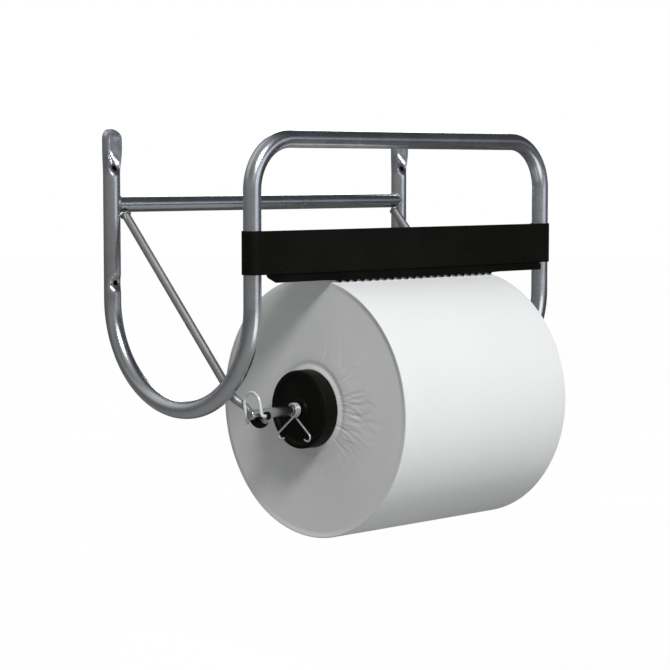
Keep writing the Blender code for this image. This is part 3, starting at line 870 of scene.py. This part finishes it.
class HOLDER_OT_braces(bpy.types.Operator):
    """Add the two brace rods with their hooks, eyes, sleeves and welds."""
    bl_idname = "holder.braces"
    bl_label = "Braces and hooks"

    def execute(self, context):
        """Rod, eye, sleeve and welds on each side, all from one BraceLine."""
        for side_word, side in SIDES:
            run = BraceLine(side_word, side)
            self.rod(run, side_word)
            self.eye(run, side_word)
            self.sleeve(run, side_word)
            self.welds(run, side_word)
        return {"FINISHED"}

    def rod(self, run, side_word):
        """The rod: straight, an inward cosine step past the tube, then an arc under the axle."""
        size = sizes()
        jog_end = run.tangent - 0.012
        jog_start = jog_end - size.brace_jog
        straight = run.at(np.linspace(size.cross_radius - 0.0005, jog_start, 30), run.outer_x)
        share = (1 - np.cos(np.linspace(0, np.pi, 25))) / 2
        jog = run.at(np.linspace(jog_start, jog_end, 25), run.outer_x + (run.hook_x - run.outer_x) * share)
        hook = run.hook(size.hook_sweep, 40)
        path = joined(straight, jog, line(jog[-1], hook[0], 5), hook)
        jog_run = [along(joined(straight))[-1], along(joined(straight, jog))[-1]]
        thick = np.interp(along(path), jog_run, [size.brace_radius, size.hook_rod_radius])
        name = f"brace_rod_{side_word}"
        rod = tube_mesh(name, path, thick, X, 28, rounded=0.0012)
        place(name, rod, [rod_steel()], "frame", [f"brace_{side_word}"])

    def eye(self, run, side_word):
        """A flat ring at the hook's tip, round the latch's stub."""
        size = sizes()
        pivot = joint_place(f"latch_swing_{side_word}") * (0, 1, 1) + run.hook_x * X
        out, hole, half = size.eye_radius, size.eye_hole, size.eye_thickness / 2
        outline = rounded_profile([(out, half), (out, -half), (hole, -half), (hole, half)], 0.0006)
        name = f"hook_eye_{side_word}"
        eye = turned_mesh(name, outline, pivot, X, Y, 48)
        place(name, eye, [black_plastic()], "frame", [f"brace_{side_word}"])

    def sleeve(self, run, side_word):
        """A thin open tube round the hook: outer skin one way, inner skin back."""
        size = sizes()
        straight = run.at(np.linspace(run.tangent - 0.008, run.tangent, 6), run.hook_x)
        path = joined(straight, run.hook(size.sleeve_sweep, 30))
        outer = np.full(len(path), size.sleeve_radius)
        edge = np.array([0.0004, 0.0001, 0.0])
        outer[:3] -= edge
        outer[-3:] -= edge[::-1]
        skins = [tube(path, outer, X, 28), tube(path, size.sleeve_radius - size.sleeve_wall, X, 28)[::-1]]
        name = f"hook_cover_{side_word}"
        mesh = grid_mesh(name, np.concatenate(skins), wrap_u=True, wrap_v=True)
        place(name, mesh, [black_plastic()], "frame", [f"hook_sleeve_{side_word}"])

    def welds(self, run, side_word):
        """A ring where the rod starts at the crossbar, and an oval where it crosses the J bend.

        The crossing is where the straight line top + d along meets the bend's circle."""
        size = sizes()
        start = run.at(size.cross_radius + 0.0003, run.outer_x)[0]
        name = f"brace_weld_top_{side_word}"
        collar = weld_ring(name, start, run.along, X, size.brace_radius + 0.0002, 0.0012, 30)
        place(name, collar, [weld_metal()], "frame")
        low = edges("frame_tube")[0]
        bend = (-2 * size.tube_radius - low[1]) / 2
        centre = np.array([0.0, -size.tube_radius - bend, low[2] + size.tube_radius + bend])
        offset = run.top - centre
        half = np.dot(offset, run.along)
        crossing = -half + math.sqrt(half ** 2 - np.dot(offset, offset) + bend ** 2)
        touch = run.at(crossing, run.outer_x + run.side * (size.brace_radius - 0.0002))[0]
        radial = unit((touch - centre) * (0, 1, 1))
        tangent = np.cross(X, radial)
        angle = np.linspace(0, 2 * np.pi, 81)[:, None]
        long_half, short_half, bead_radius = 0.0048, 0.0034, 0.0011
        oval = touch + long_half * np.cos(angle) * radial + short_half * np.sin(angle) * tangent
        thick = bead_radius * (1 + 0.15 * np.abs(np.sin(22 * angle[:, 0])))
        name = f"brace_weld_bend_{side_word}"
        place(name, tube_mesh(name, oval, thick, X, 10), [weld_metal()], "frame")


# ================================================================ tear band, blade, rivets
class HOLDER_OT_tear_band(bpy.types.Operator):
    """Add the black band round the front posts."""
    bl_idname = "holder.tear_band"
    bl_label = "Tear band"

    def execute(self, context):
        """Plan path (hook, straight, hook) with a thin rounded upright section carried along it."""
        size = sizes()
        low, high = edges("tear_band")
        front_y = edges("frame_tube")[0][1] + size.tube_radius
        half_thick = size.band_thickness / 2
        bend = front_y - low[1] - half_thick
        post = np.array([-size.leg_spacing, front_y, 0.0])
        left = arc(post, X, Y, bend, math.radians(45), math.radians(270), 48)
        across = line(left[-1], left[-1] * (0, 1, 1), 60)
        half = joined(left, across)
        plan = joined(half, half[::-1] * (-1, 1, 1))
        outward = np.cross(unit(np.gradient(plan, axis=0)), Z)[:, None]
        corners = [(-half_thick, low[2]), (half_thick, low[2]), (half_thick, high[2]),
                   (-half_thick, high[2])]
        section = self.refined(rounded_profile(corners, 0.0005))
        bow = 0.00018 * np.sin(plan[:, 0] / 0.031) * (np.abs(plan[:, 0]) < 0.19)
        out = section[:, 0][None, :, None] + bow[:, None, None]
        points = plan[:, None] + out * outward + section[:, 1][None, :, None] * Z
        mesh = grid_mesh("tear_band_skin", points[:, ::-1], wrap_v=True, caps=True)
        place("tear_band_skin", mesh, [black_paint()], "frame", ["tear_band"])
        self.rivets(size)
        return {"FINISHED"}

    def refined(self, section):
        """Cut the section's long sides into short steps."""
        runs = [line(start, stop, 10 if np.linalg.norm(stop - start) > 0.01 else 1)[:-1]
                for start, stop in zip(section, np.roll(section, -1, axis=0))]
        return np.concatenate(runs)

    def rivets(self, size):
        """Domed rivets that hold the blade: a quarter-circle head, a shank and a flared tail."""
        turn = np.linspace(0, np.pi / 2, 8)
        head = np.stack([size.rivet_head * np.sin(turn), size.rivet_dome * np.cos(turn)], axis=1)
        head[0, 0] = 0.0001
        flare, tail_height = 0.0029, 0.0009
        for index in range(1, size.rivets + 1):
            node = f"blade_rivet_{index}"
            low, high = edges(node)
            reach = high[1] - low[1] - size.rivet_dome
            tail = [(size.rivet_shank, 0.0), (size.rivet_shank, tail_height - reach),
                    (flare, tail_height - reach), (flare, 0.0005 - reach), (0.0024, -reach),
                    (0.0003, -reach)]
            middle = (low + high) / 2
            foot = np.array([middle[0], low[1] + size.rivet_dome, middle[2]])
            name = f"rivet_{index}"
            mesh = turned_mesh(name, np.concatenate([head, tail]), foot, -Y, X, 32, closed=False)
            place(name, mesh, [black_paint()], "frame", [node])


class HOLDER_OT_blade(bpy.types.Operator):
    """Add the toothed strip behind and under the band."""
    bl_idname = "holder.blade"
    bl_label = "Saw blade"

    def execute(self, context):
        """Section (flange, bend, lip) times length; the lip's edge is a triangle wave over its middle."""
        size = sizes()
        high = edges("saw_blade")[1]
        thick, corner = size.blade_thickness, 0.006
        stations = self.stations(size, high[0], corner)
        length = self.lip_length(size, stations, high[0], corner)
        base = np.array([0.0, high[1] - thick / 2, high[2] - size.blade_flange])
        sheet = self.sheet(size, stations, length, base, high[2])
        facing = unit(np.cross(X, np.gradient(sheet, axis=0)))
        share = np.ones(len(sheet))
        share[:2], share[-3:] = (0.5, 0.9), (0.8, 0.5, 0.25)
        offset = thick / 2 * share[:, None, None] * facing
        points = np.concatenate([sheet + offset, (sheet - offset)[::-1]])
        mesh = grid_mesh("saw_blade_skin", points.transpose(1, 0, 2), wrap_v=True, caps=True)
        place("saw_blade_skin", mesh, [black_paint()], "frame", ["saw_blade"], crease=30)
        return {"FINISHED"}

    def stations(self, size, half_length, corner):
        """Places along the blade: several on each tooth's flanks, with its tip and roots exact."""
        toothed = np.linspace(-size.teeth_half, size.teeth_half, 8 * size.teeth + 1)
        ends = np.linspace(size.teeth_half, half_length - corner, 8)[1:]
        chamfer = half_length - corner + corner * np.linspace(0, 1, 6)[1:]
        right = np.concatenate([ends, chamfer])
        return np.concatenate([-right[::-1], toothed, right])

    def lip_length(self, size, stations, half_length, corner):
        """Width of the lip: a triangle wave over the teeth, plain beside them, cut off at the ends."""
        pitch = 2 * size.teeth_half / size.teeth
        wave = np.abs(((stations + size.teeth_half) / pitch) % 1.0 - 0.5) * 2
        toothed = size.lip_valley + size.tooth_length * (1 - wave)
        length = np.where(np.abs(stations) <= size.teeth_half + 1e-7, toothed, size.lip_end)
        return length - np.clip(np.abs(stations) - (half_length - corner), 0, corner)

    def sheet(self, size, stations, length, base, top):
        """Middle of the sheet, row by row: flange, a quadratic curve round the bend, lip."""
        slope = math.cos(size.lip_angle) * Y + math.sin(size.lip_angle) * Z
        turn = 0.0012
        flange = [base + (z - base[2]) * Z for z in np.linspace(top, base[2] + turn, 8)]
        bend = [(1 - t) ** 2 * (base + turn * Z) + 2 * t * (1 - t) * base + t ** 2 * (base + turn * slope)
                for t in np.linspace(0.2, 1, 5)]
        upper = np.array(flange + bend)[:, None] + stations[None, :, None] * X
        reach = turn + np.linspace(0, 1, 12)[1:, None] * (length - turn)
        lip = base + stations[None, :, None] * X + reach[..., None] * slope
        return np.concatenate([upper, lip])


# ================================================================ axle, cones, clips, latches
class HOLDER_OT_axle(bpy.types.Operator):
    """Add the axle rod."""
    bl_idname = "holder.axle"
    bl_label = "Axle"

    def execute(self, context):
        """A round rod between the node's two ends, its edges rounded off."""
        low, high = edges("axle")
        path = line(low[0] * X + AXLE, high[0] * X + AXLE, 80)
        mesh = tube_mesh("axle_rod", path, sizes().axle_radius, Y, 40, rounded=0.0012)
        steel = look_of("polished_axle_steel", steel_look, tuple(colours().steel), 0.15, 0.28)
        place("axle_rod", mesh, [steel], "axle", ["axle"])
        return {"FINISHED"}


class HOLDER_OT_cones(bpy.types.Operator):
    """Add the two black plugs that hold the roll's core."""
    bl_idname = "holder.cones"
    bl_label = "Cones"

    def execute(self, context):
        """Rounded profile of flange, dish, boss and taper, turned about the axle."""
        size = sizes()
        wall, bore, boss = size.cone_wall, size.cone_bore, 0.010
        step = edges("paper_roll")[1][0] + 0.0005
        outer = edges("roll_core")[1][2] - AXLE[2] - 0.0023
        for side_word, side in SIDES:
            node = f"cone_{side_word}"
            low, high = edges(node)
            back, front = sorted((abs(low[0]), abs(high[0])))
            flange = (high[2] - low[2]) / 2
            dish, rim, tip = front - wall, flange - 0.005, outer - size.cone_taper
            outline = [(bore, front), (boss, front), (boss + 0.001, dish), (rim - 0.002, dish), (rim, front),
                       (flange, front), (flange, step), (outer, step), (tip, back), (tip - wall, back),
                       (outer - wall, dish - wall), (boss, dish - wall), (boss, back + 0.01),
                       (bore, back + 0.01)]
            name = f"core_plug_{side_word}"
            mesh = turned_mesh(name, rounded_profile(outline, 0.0016, 5), AXLE, side * X, Y, 96)
            place(name, mesh, [black_plastic()], node, [node])
        return {"FINISHED"}


class HOLDER_OT_clips(bpy.types.Operator):
    """Add the two coiled spring clips on the axle."""
    bl_idname = "holder.clips"
    bl_label = "Spring clips"

    def execute(self, context):
        """A round wire along the clip's path, at the middle of its node."""
        steel = look_of("bright_spring_wire", steel_look, tuple(colours().spring), 0.20, 0.32, 0.00002, 0.6)
        for side_word, side in SIDES:
            node = f"clip_{side_word}"
            low, high = edges(node)
            path = self.path(sizes(), side) + (low[0] + high[0]) / 2 * X + AXLE
            name = f"spring_clip_{side_word}"
            mesh = tube_mesh(name, path, sizes().clip_wire, X, 16, rounded=0.0006)
            place(name, mesh, [steel], node, [node])
        return {"FINISHED"}

    def path(self, size, side):
        """Hook, crossed straight leg, helix round the axle, crossed straight leg, hook."""
        sweep = 2 * np.pi * size.clip_turns - 2 * size.clip_spread
        length = size.clip_pitch * sweep / (2 * np.pi)
        share = np.linspace(0, 1, 150)[:, None]
        angle = -np.pi / 2 + size.clip_spread + sweep * share
        ring = size.clip_coil * (np.cos(angle) * Y + np.sin(angle) * Z)
        coil = side * (share - 0.5) * length * X + ring
        first = self.leg(size, -side * length / 2, -1)[::-1]
        return joined(first, coil, self.leg(size, side * length / 2, 1))

    def leg(self, size, x, toward):
        """From the coil down a straight leg and round its hook; toward is +1 at the wall side."""
        lean, hook_r, tail_length = size.clip_spread, size.clip_hook, 0.003
        down = toward * math.sin(lean) * Y - math.cos(lean) * Z
        inner = -toward * math.cos(lean) * Y - math.sin(lean) * Z
        start = size.clip_coil * inner
        end = start + size.clip_leg * down
        hook = arc(end + hook_r * inner, -inner, down, hook_r, 0, math.radians(165), 22)
        tail = line(hook[-1], hook[-1] + tail_length * unit(hook[-1] - hook[-2]), 4)
        return joined(line(start, end, 16), hook, tail) + x * X


class HOLDER_OT_latches(bpy.types.Operator):
    """Add the two wire latches over the axle's ends."""
    bl_idname = "holder.latches"
    bl_label = "Latches"

    def execute(self, context):
        """Stub, quarter bend, leg, half-circle arch and free leg, in the plane beside the hook."""
        zinc = look_of("bright_zinc_wire", steel_look, tuple(colours().bright), 0.26, 0.38, 0.00002, 0.3)
        size = sizes()
        lean, arch, bend = size.latch_lean, size.latch_arch, size.latch_bend
        up = math.sin(lean) * Y + math.cos(lean) * Z
        back = math.cos(lean) * Y - math.sin(lean) * Z
        through_eye = size.eye_thickness / 2 + 0.0015
        for side_word, side in SIDES:
            inside = -side * X
            pivot = joint_place(f"latch_swing_{side_word}")
            depth = abs(pivot[0]) - abs(BraceLine(side_word, side).hook_x) + through_eye
            turn = arc(bend * (inside + up), -up, -inside, bend, 0, np.pi / 2, 12)
            top = arc(size.latch_pivot_leg * up + arch * back, -back, up, arch, 0, np.pi, 48)
            end = 2 * arch * back + (size.latch_pivot_leg - size.latch_free_leg) * up
            path = joined(line(depth * inside, turn[0], 6), turn, line(turn[-1], top[0], 8), top,
                          line(top[-1], end, 12)) + pivot
            name = f"axle_latch_{side_word}"
            mesh = tube_mesh(name, path, size.latch_wire, Y, 24, rounded=0.0009)
            place(name, mesh, [zinc], f"latch_{side_word}", [f"latch_{side_word}"])
        return {"FINISHED"}


# ================================================================ paper roll
class HOLDER_OT_paper_roll(bpy.types.Operator):
    """Add the paper roll and its core."""
    bl_idname = "holder.paper_roll"
    bl_label = "Paper roll"
    corner = 0.0012     # radius of the edge between the skin and an end

    def execute(self, context):
        """One closed surface for the paper, with a second material on its ends, and the core tube."""
        low, high = edges("paper_roll")
        half, outer = high[0], (high[2] - low[2]) / 2
        hole = edges("roll_core")[1][2] - AXLE[2] + 0.0003
        paper = look_of("crepe_paper", crepe_look, tuple(colours().paper))
        ends = look_of("roll_end_paper", roll_end_look, tuple(colours().paper), AXLE)
        mesh = grid_mesh("paper_winding", *self.surface(half, outer, hole), wrap_u=True, wrap_v=True)
        piece = place("paper_winding", mesh, [paper, ends], "roll", ["paper_roll"], crease=0)
        self.paint_ends(piece.data, half, outer)
        self.core(half, hole)
        return {"FINISHED"}

    def surface(self, half, outer, hole):
        """Radius and height of the roll's skin as functions of the angle a and the run s.

        Outer skin: R + swell - step(a) - soft waves. Ends: half + long waves + radial creases that
        fade outwards from the hole. The corner between them is a quarter circle."""
        corner, sides, skin_rows, end_rows, hole_rows = self.corner, 512, 18, 78, 12
        swell, step_height = 0.0005, 0.00035
        angle = np.linspace(0, 2 * np.pi, sides, endpoint=False)[None, :]
        turn = np.linspace(0, np.pi / 2, 6)[1:-1]
        inset, drop = corner * (1 - np.sin(turn)), corner * (1 - np.cos(turn))
        faces = outer - corner - (outer - corner - hole) * np.linspace(0, 1, end_rows)
        height = np.concatenate([np.linspace(half - corner, corner - half, skin_rows), inset - half,
                                 np.full(end_rows, -half),
                                 np.linspace(-half + 0.002, half - 0.002, hole_rows),
                                 np.full(end_rows, half), half - inset[::-1]])[:, None]
        radius = np.concatenate([np.full(skin_rows, outer), outer - drop, faces,
                                 np.full(hole_rows, hole), faces[::-1], outer - drop[::-1]])[:, None]
        on_end = np.abs(np.abs(height) - half) < 1e-6
        bulge = self.creases(angle, radius, hole) * on_end
        height = height + np.sign(height) * bulge * smooth((outer - radius) / 0.006)
        soft = 0.00022 * np.sin(3 * angle + 1.1) + 0.00012 * np.sin(7 * angle + height * 9)
        step = step_height * angle / (2 * np.pi)
        radius = radius - ~on_end * (radius > hole + 0.001) * (step - swell + soft)
        ring = np.cos(angle)[..., None] * Y + np.sin(angle)[..., None] * Z
        points = AXLE + height[..., None] * X + radius[..., None] * ring
        run = along(np.stack([height[:, 0], radius[:, 0]], axis=1))
        return points, np.stack(np.broadcast_arrays(angle / (2 * np.pi), run[:, None]), axis=-1)

    def creases(self, angle, radius, hole):
        """How far an end stands out: a lip round the hole, a groove beyond it, a slow warp of the
        whole end, and wavy creases that run outwards from the groove, most of them at the front.

        Each crease is a bell curve across its own wavy line times a bell curve along it."""
        away = radius - hole
        lip = (0.0016 * np.exp(-away / 0.0120) + 0.0004 * np.exp(-(away / 0.0026) ** 2)
               - 0.0008 * np.exp(-((away - 0.0060) / 0.0028) ** 2))
        warp = (0.0012 * np.sin(angle + 0.4 + 9 * away) + 0.0007 * np.sin(2 * angle - 14 * away + 2.0)
                + 0.0003 * np.sin(3 * angle + 35 * away))
        total = lip + warp * smooth(away / 0.02)
        rng = np.random.default_rng(11)
        crease_count, front_bearing, scatter = 130, np.pi - 0.30, 0.62
        for _ in range(crease_count):
            middle = rng.normal(front_bearing, scatter)
            start, reach = rng.uniform(0.000, 0.034), rng.uniform(0.007, 0.022)
            wander = rng.uniform(-0.04, 0.04) * np.sin(away * rng.uniform(120, 300) + rng.uniform(0, 6))
            lean = rng.uniform(-2.5, 2.5) * (away - start)
            gap = (angle - middle - wander - lean + np.pi) % (2 * np.pi) - np.pi
            width = rng.uniform(0.014, 0.040)
            depth = rng.uniform(-0.00016, 0.00033)
            over = np.exp(-((away - start - reach / 2) / reach) ** 2)
            total = total - depth * np.exp(-(gap / width) ** 2) * over
        return total

    def paint_ends(self, mesh, half, outer):
        """The ends and the hole take the second material."""
        centres = face_centres(mesh)
        outside = np.hypot(centres[:, 1] - AXLE[1], centres[:, 2] - AXLE[2]) > outer - self.corner - 0.0005
        on_skin = outside & (np.abs(centres[:, 0]) < half - 0.0004)
        mesh.polygons.foreach_set("material_index", np.where(on_skin, 0, 1).astype(np.int32))

    def core(self, half, hole):
        """A thin board tube just inside the paper's hole, with rounded edges."""
        out, inside = hole - 0.0003, hole - 0.002
        outline = [(out, half), (out, -half), (inside, -half), (inside, half)]
        mesh = turned_mesh("core_tube", rounded_profile(outline, 0.0005), AXLE, X, Y, 96)
        place("core_tube", mesh, [look_of("grey_core_board", board_look, tuple(colours().board))],
              "roll", ["roll_core"])


# ================================================================ studio
class HOLDER_OT_stage(bpy.types.Operator):
    """Add the floor, the lights, the pale surroundings and the camera."""
    bl_idname = "holder.stage"
    bl_label = "Studio"
    floor_z = -0.62
    floor_radius = 14.0
    lamps = (  # name, place, what it faces, width, power
        ("key", (-0.90, -2.30, 1.88), (0.0, -0.2, -0.1), 0.6, 63.0),
        ("lift", (0.1, -1.05, -0.58), (0.0, -0.2, -0.2), 0.8, 2.6),
        ("back", (1.7, 1.7, 1.1), (0.0, -0.1, -0.1), 1.2, 16.0))
    camera_place = (-1.5931, -1.7401, 0.0573)
    camera_pitch, camera_bearing = -4.49, -44.55
    camera_lens = 112.24

    def execute(self, context):
        """Floor, surroundings, lamps and camera."""
        context.scene.view_settings.view_transform = "Standard"
        self.floor()
        self.surroundings()
        for lamp in self.lamps:
            self.light(*lamp)
        self.camera()
        return {"FINISHED"}

    def floor(self):
        """A round pale floor: white to the eye, greyer as a reflector, so the metal keeps its darks."""
        sides = 64
        angle = np.linspace(0, 2 * np.pi, sides, endpoint=False)
        rim = np.stack([self.floor_radius * np.cos(angle), self.floor_radius * np.sin(angle),
                        np.full(sides, self.floor_z)], axis=1)
        mesh = bpy.data.meshes.new("floor")
        mesh.from_pydata(rim, [], [list(range(sides))])
        floor = bpy.data.objects.new("floor", mesh)
        bpy.context.scene.collection.objects.link(floor)
        look = Look("pale_floor", (0.21, 0.21, 0.215), 0.9)
        cloud = look.noise(look.coordinates("Object"), 2.0)
        x = look.axes(look.coordinates("Object"))[0]
        dark = look.ease(look.math("ADD", x, look.math("MULTIPLY", cloud, 0.1)), -0.25, 0.45, 0, 1)
        look.colour(look.blend(dark, (0.34, 0.34, 0.33), (0.13, 0.13, 0.135)))
        glow = look.node("ShaderNodeEmission")
        white = look.blend(look.spread(cloud, 0, 1), (0.985, 0.985, 0.985), (1.0, 1.0, 1.0))
        look.links.new(white, glow.inputs["Color"])
        look.seen_as(look.shader.outputs["BSDF"], glow.outputs["Emission"], "Material Output")
        mesh.materials.append(look.material)

    def surroundings(self):
        """A white room to the eye. As a light it's dim: paler on the left, dark on the right and at the
        back, with one tall window in front that draws the streaks on the tubes."""
        world = bpy.data.worlds.new("studio")
        bpy.context.scene.world = world
        world.use_nodes = True
        look = NodeGraph(world.node_tree)
        x, y, z = look.axes(look.node("ShaderNodeTexCoord").outputs["Generated"])
        bearing = look.math("ARCTAN2", y, x)

        # the window's left and right edges, its foot and its head
        window = look.product(look.ease(bearing, -1.66, -1.50, 0, 1), look.ease(bearing, -1.02, -0.75, 1, 0),
                              look.ease(z, -0.75, -0.35, 0, 1), look.ease(z, 0.15, 0.40, 1.20, 0))
        # pale on the left, fading to the right, to the back and upwards
        left = look.product(look.ease(x, -0.10, 0.42, 0.33, 0.125), look.ease(y, -0.1, 0.9, 1.0, 0.6),
                            look.ease(z, 0.15, 0.45, 1.0, 0.55))
        # the ceiling, its part over the back, and a faint line at eye height on the right
        above = look.product(look.ease(z, 0.45, 0.9, 0, 0.20), look.ease(x, -0.1, 0.4, 1, 0.0))
        behind = look.product(look.ease(z, 0.15, 0.5, 0, 0.50), look.ease(y, 0.15, 0.5, 0, 1),
                              look.ease(x, 0.0, 0.4, 1, 0))
        low = look.product(look.ease(look.math("ABSOLUTE", z), 0.06, 0.30, 0.06, 0),
                           look.ease(x, 0.2, 0.6, 0, 1))
        level = window
        for light in (left, above, behind, low):
            level = look.math("ADD", level, light)
        tint = look.blend(look.ease(x, -0.5, 0.5, 0, 1), (0.97, 1.0, 0.98), (0.84, 0.88, 1.0))
        background = look.nodes["Background"]
        look.links.new(tint, background.inputs["Color"])
        look.links.new(level, background.inputs["Strength"])
        seen = look.node("ShaderNodeBackground")
        seen.inputs["Color"].default_value = (1.0, 1.0, 1.0, 1.0)
        seen.inputs["Strength"].default_value = 1.0
        look.seen_as(background.outputs["Background"], seen.outputs["Background"], "World Output")

    def light(self, name, stands, faces, width, power):
        """A square lamp, unseen by the camera, turned to face a point."""
        lamp = bpy.data.lights.new(name, "AREA")
        lamp.shape = "SQUARE"
        lamp.size = width
        lamp.energy = power
        made = bpy.data.objects.new(name, lamp)
        made.location = stands
        made.visible_camera = False
        made.rotation_euler = (Vector(faces) - Vector(stands)).to_track_quat("-Z", "Y").to_euler()
        bpy.context.scene.collection.objects.link(made)

    def camera(self):
        """The camera, in front and to the left of the holder and a little above its middle."""
        view = bpy.data.cameras.new("camera")
        view.sensor_width = 36.0
        view.lens = self.camera_lens
        view.clip_end = 100.0
        made = bpy.data.objects.new("camera", view)
        made.location = self.camera_place
        made.rotation_euler = (math.radians(90 + self.camera_pitch), 0.0, math.radians(self.camera_bearing))
        bpy.context.scene.collection.objects.link(made)
        bpy.context.scene.camera = made


OPERATORS = (HOLDER_OT_frame_tube, HOLDER_OT_crossbar, HOLDER_OT_braces, HOLDER_OT_tear_band,
             HOLDER_OT_blade, HOLDER_OT_axle, HOLDER_OT_cones, HOLDER_OT_clips, HOLDER_OT_latches,
             HOLDER_OT_paper_roll, HOLDER_OT_stage)


class HOLDER_PT_panel(bpy.types.Panel):
    """Lists the holder's pieces."""
    bl_idname = "HOLDER_PT_panel"
    bl_label = "Paper roll holder"
    bl_space_type = "VIEW_3D"
    bl_region_type = "UI"
    bl_category = "Roll holder"

    def draw(self, context):
        """A button for each operator, then the sizes and colours."""
        for operator in OPERATORS:
            self.layout.operator(operator.bl_idname, text=operator.bl_label)
        for group in (context.scene.holder_sizes, context.scene.holder_colours):
            for key in group.__annotations__:
                self.layout.prop(group, key)


CLASSES = (HolderSizes, HolderColours, *OPERATORS, HOLDER_PT_panel)


def register():
    """Add the classes and the scene's two groups of values."""
    for item in CLASSES:
        bpy.utils.register_class(item)
    bpy.types.Scene.holder_sizes = PointerProperty(type=HolderSizes)
    bpy.types.Scene.holder_colours = PointerProperty(type=HolderColours)


def unregister():
    """Take them away again."""
    del bpy.types.Scene.holder_sizes
    del bpy.types.Scene.holder_colours
    for item in reversed(CLASSES):
        bpy.utils.unregister_class(item)


def main():
    register()
    for operator in OPERATORS:
        group, name = operator.bl_idname.split(".")
        getattr(getattr(bpy.ops, group), name)()


if __name__ == "__main__":
    main()
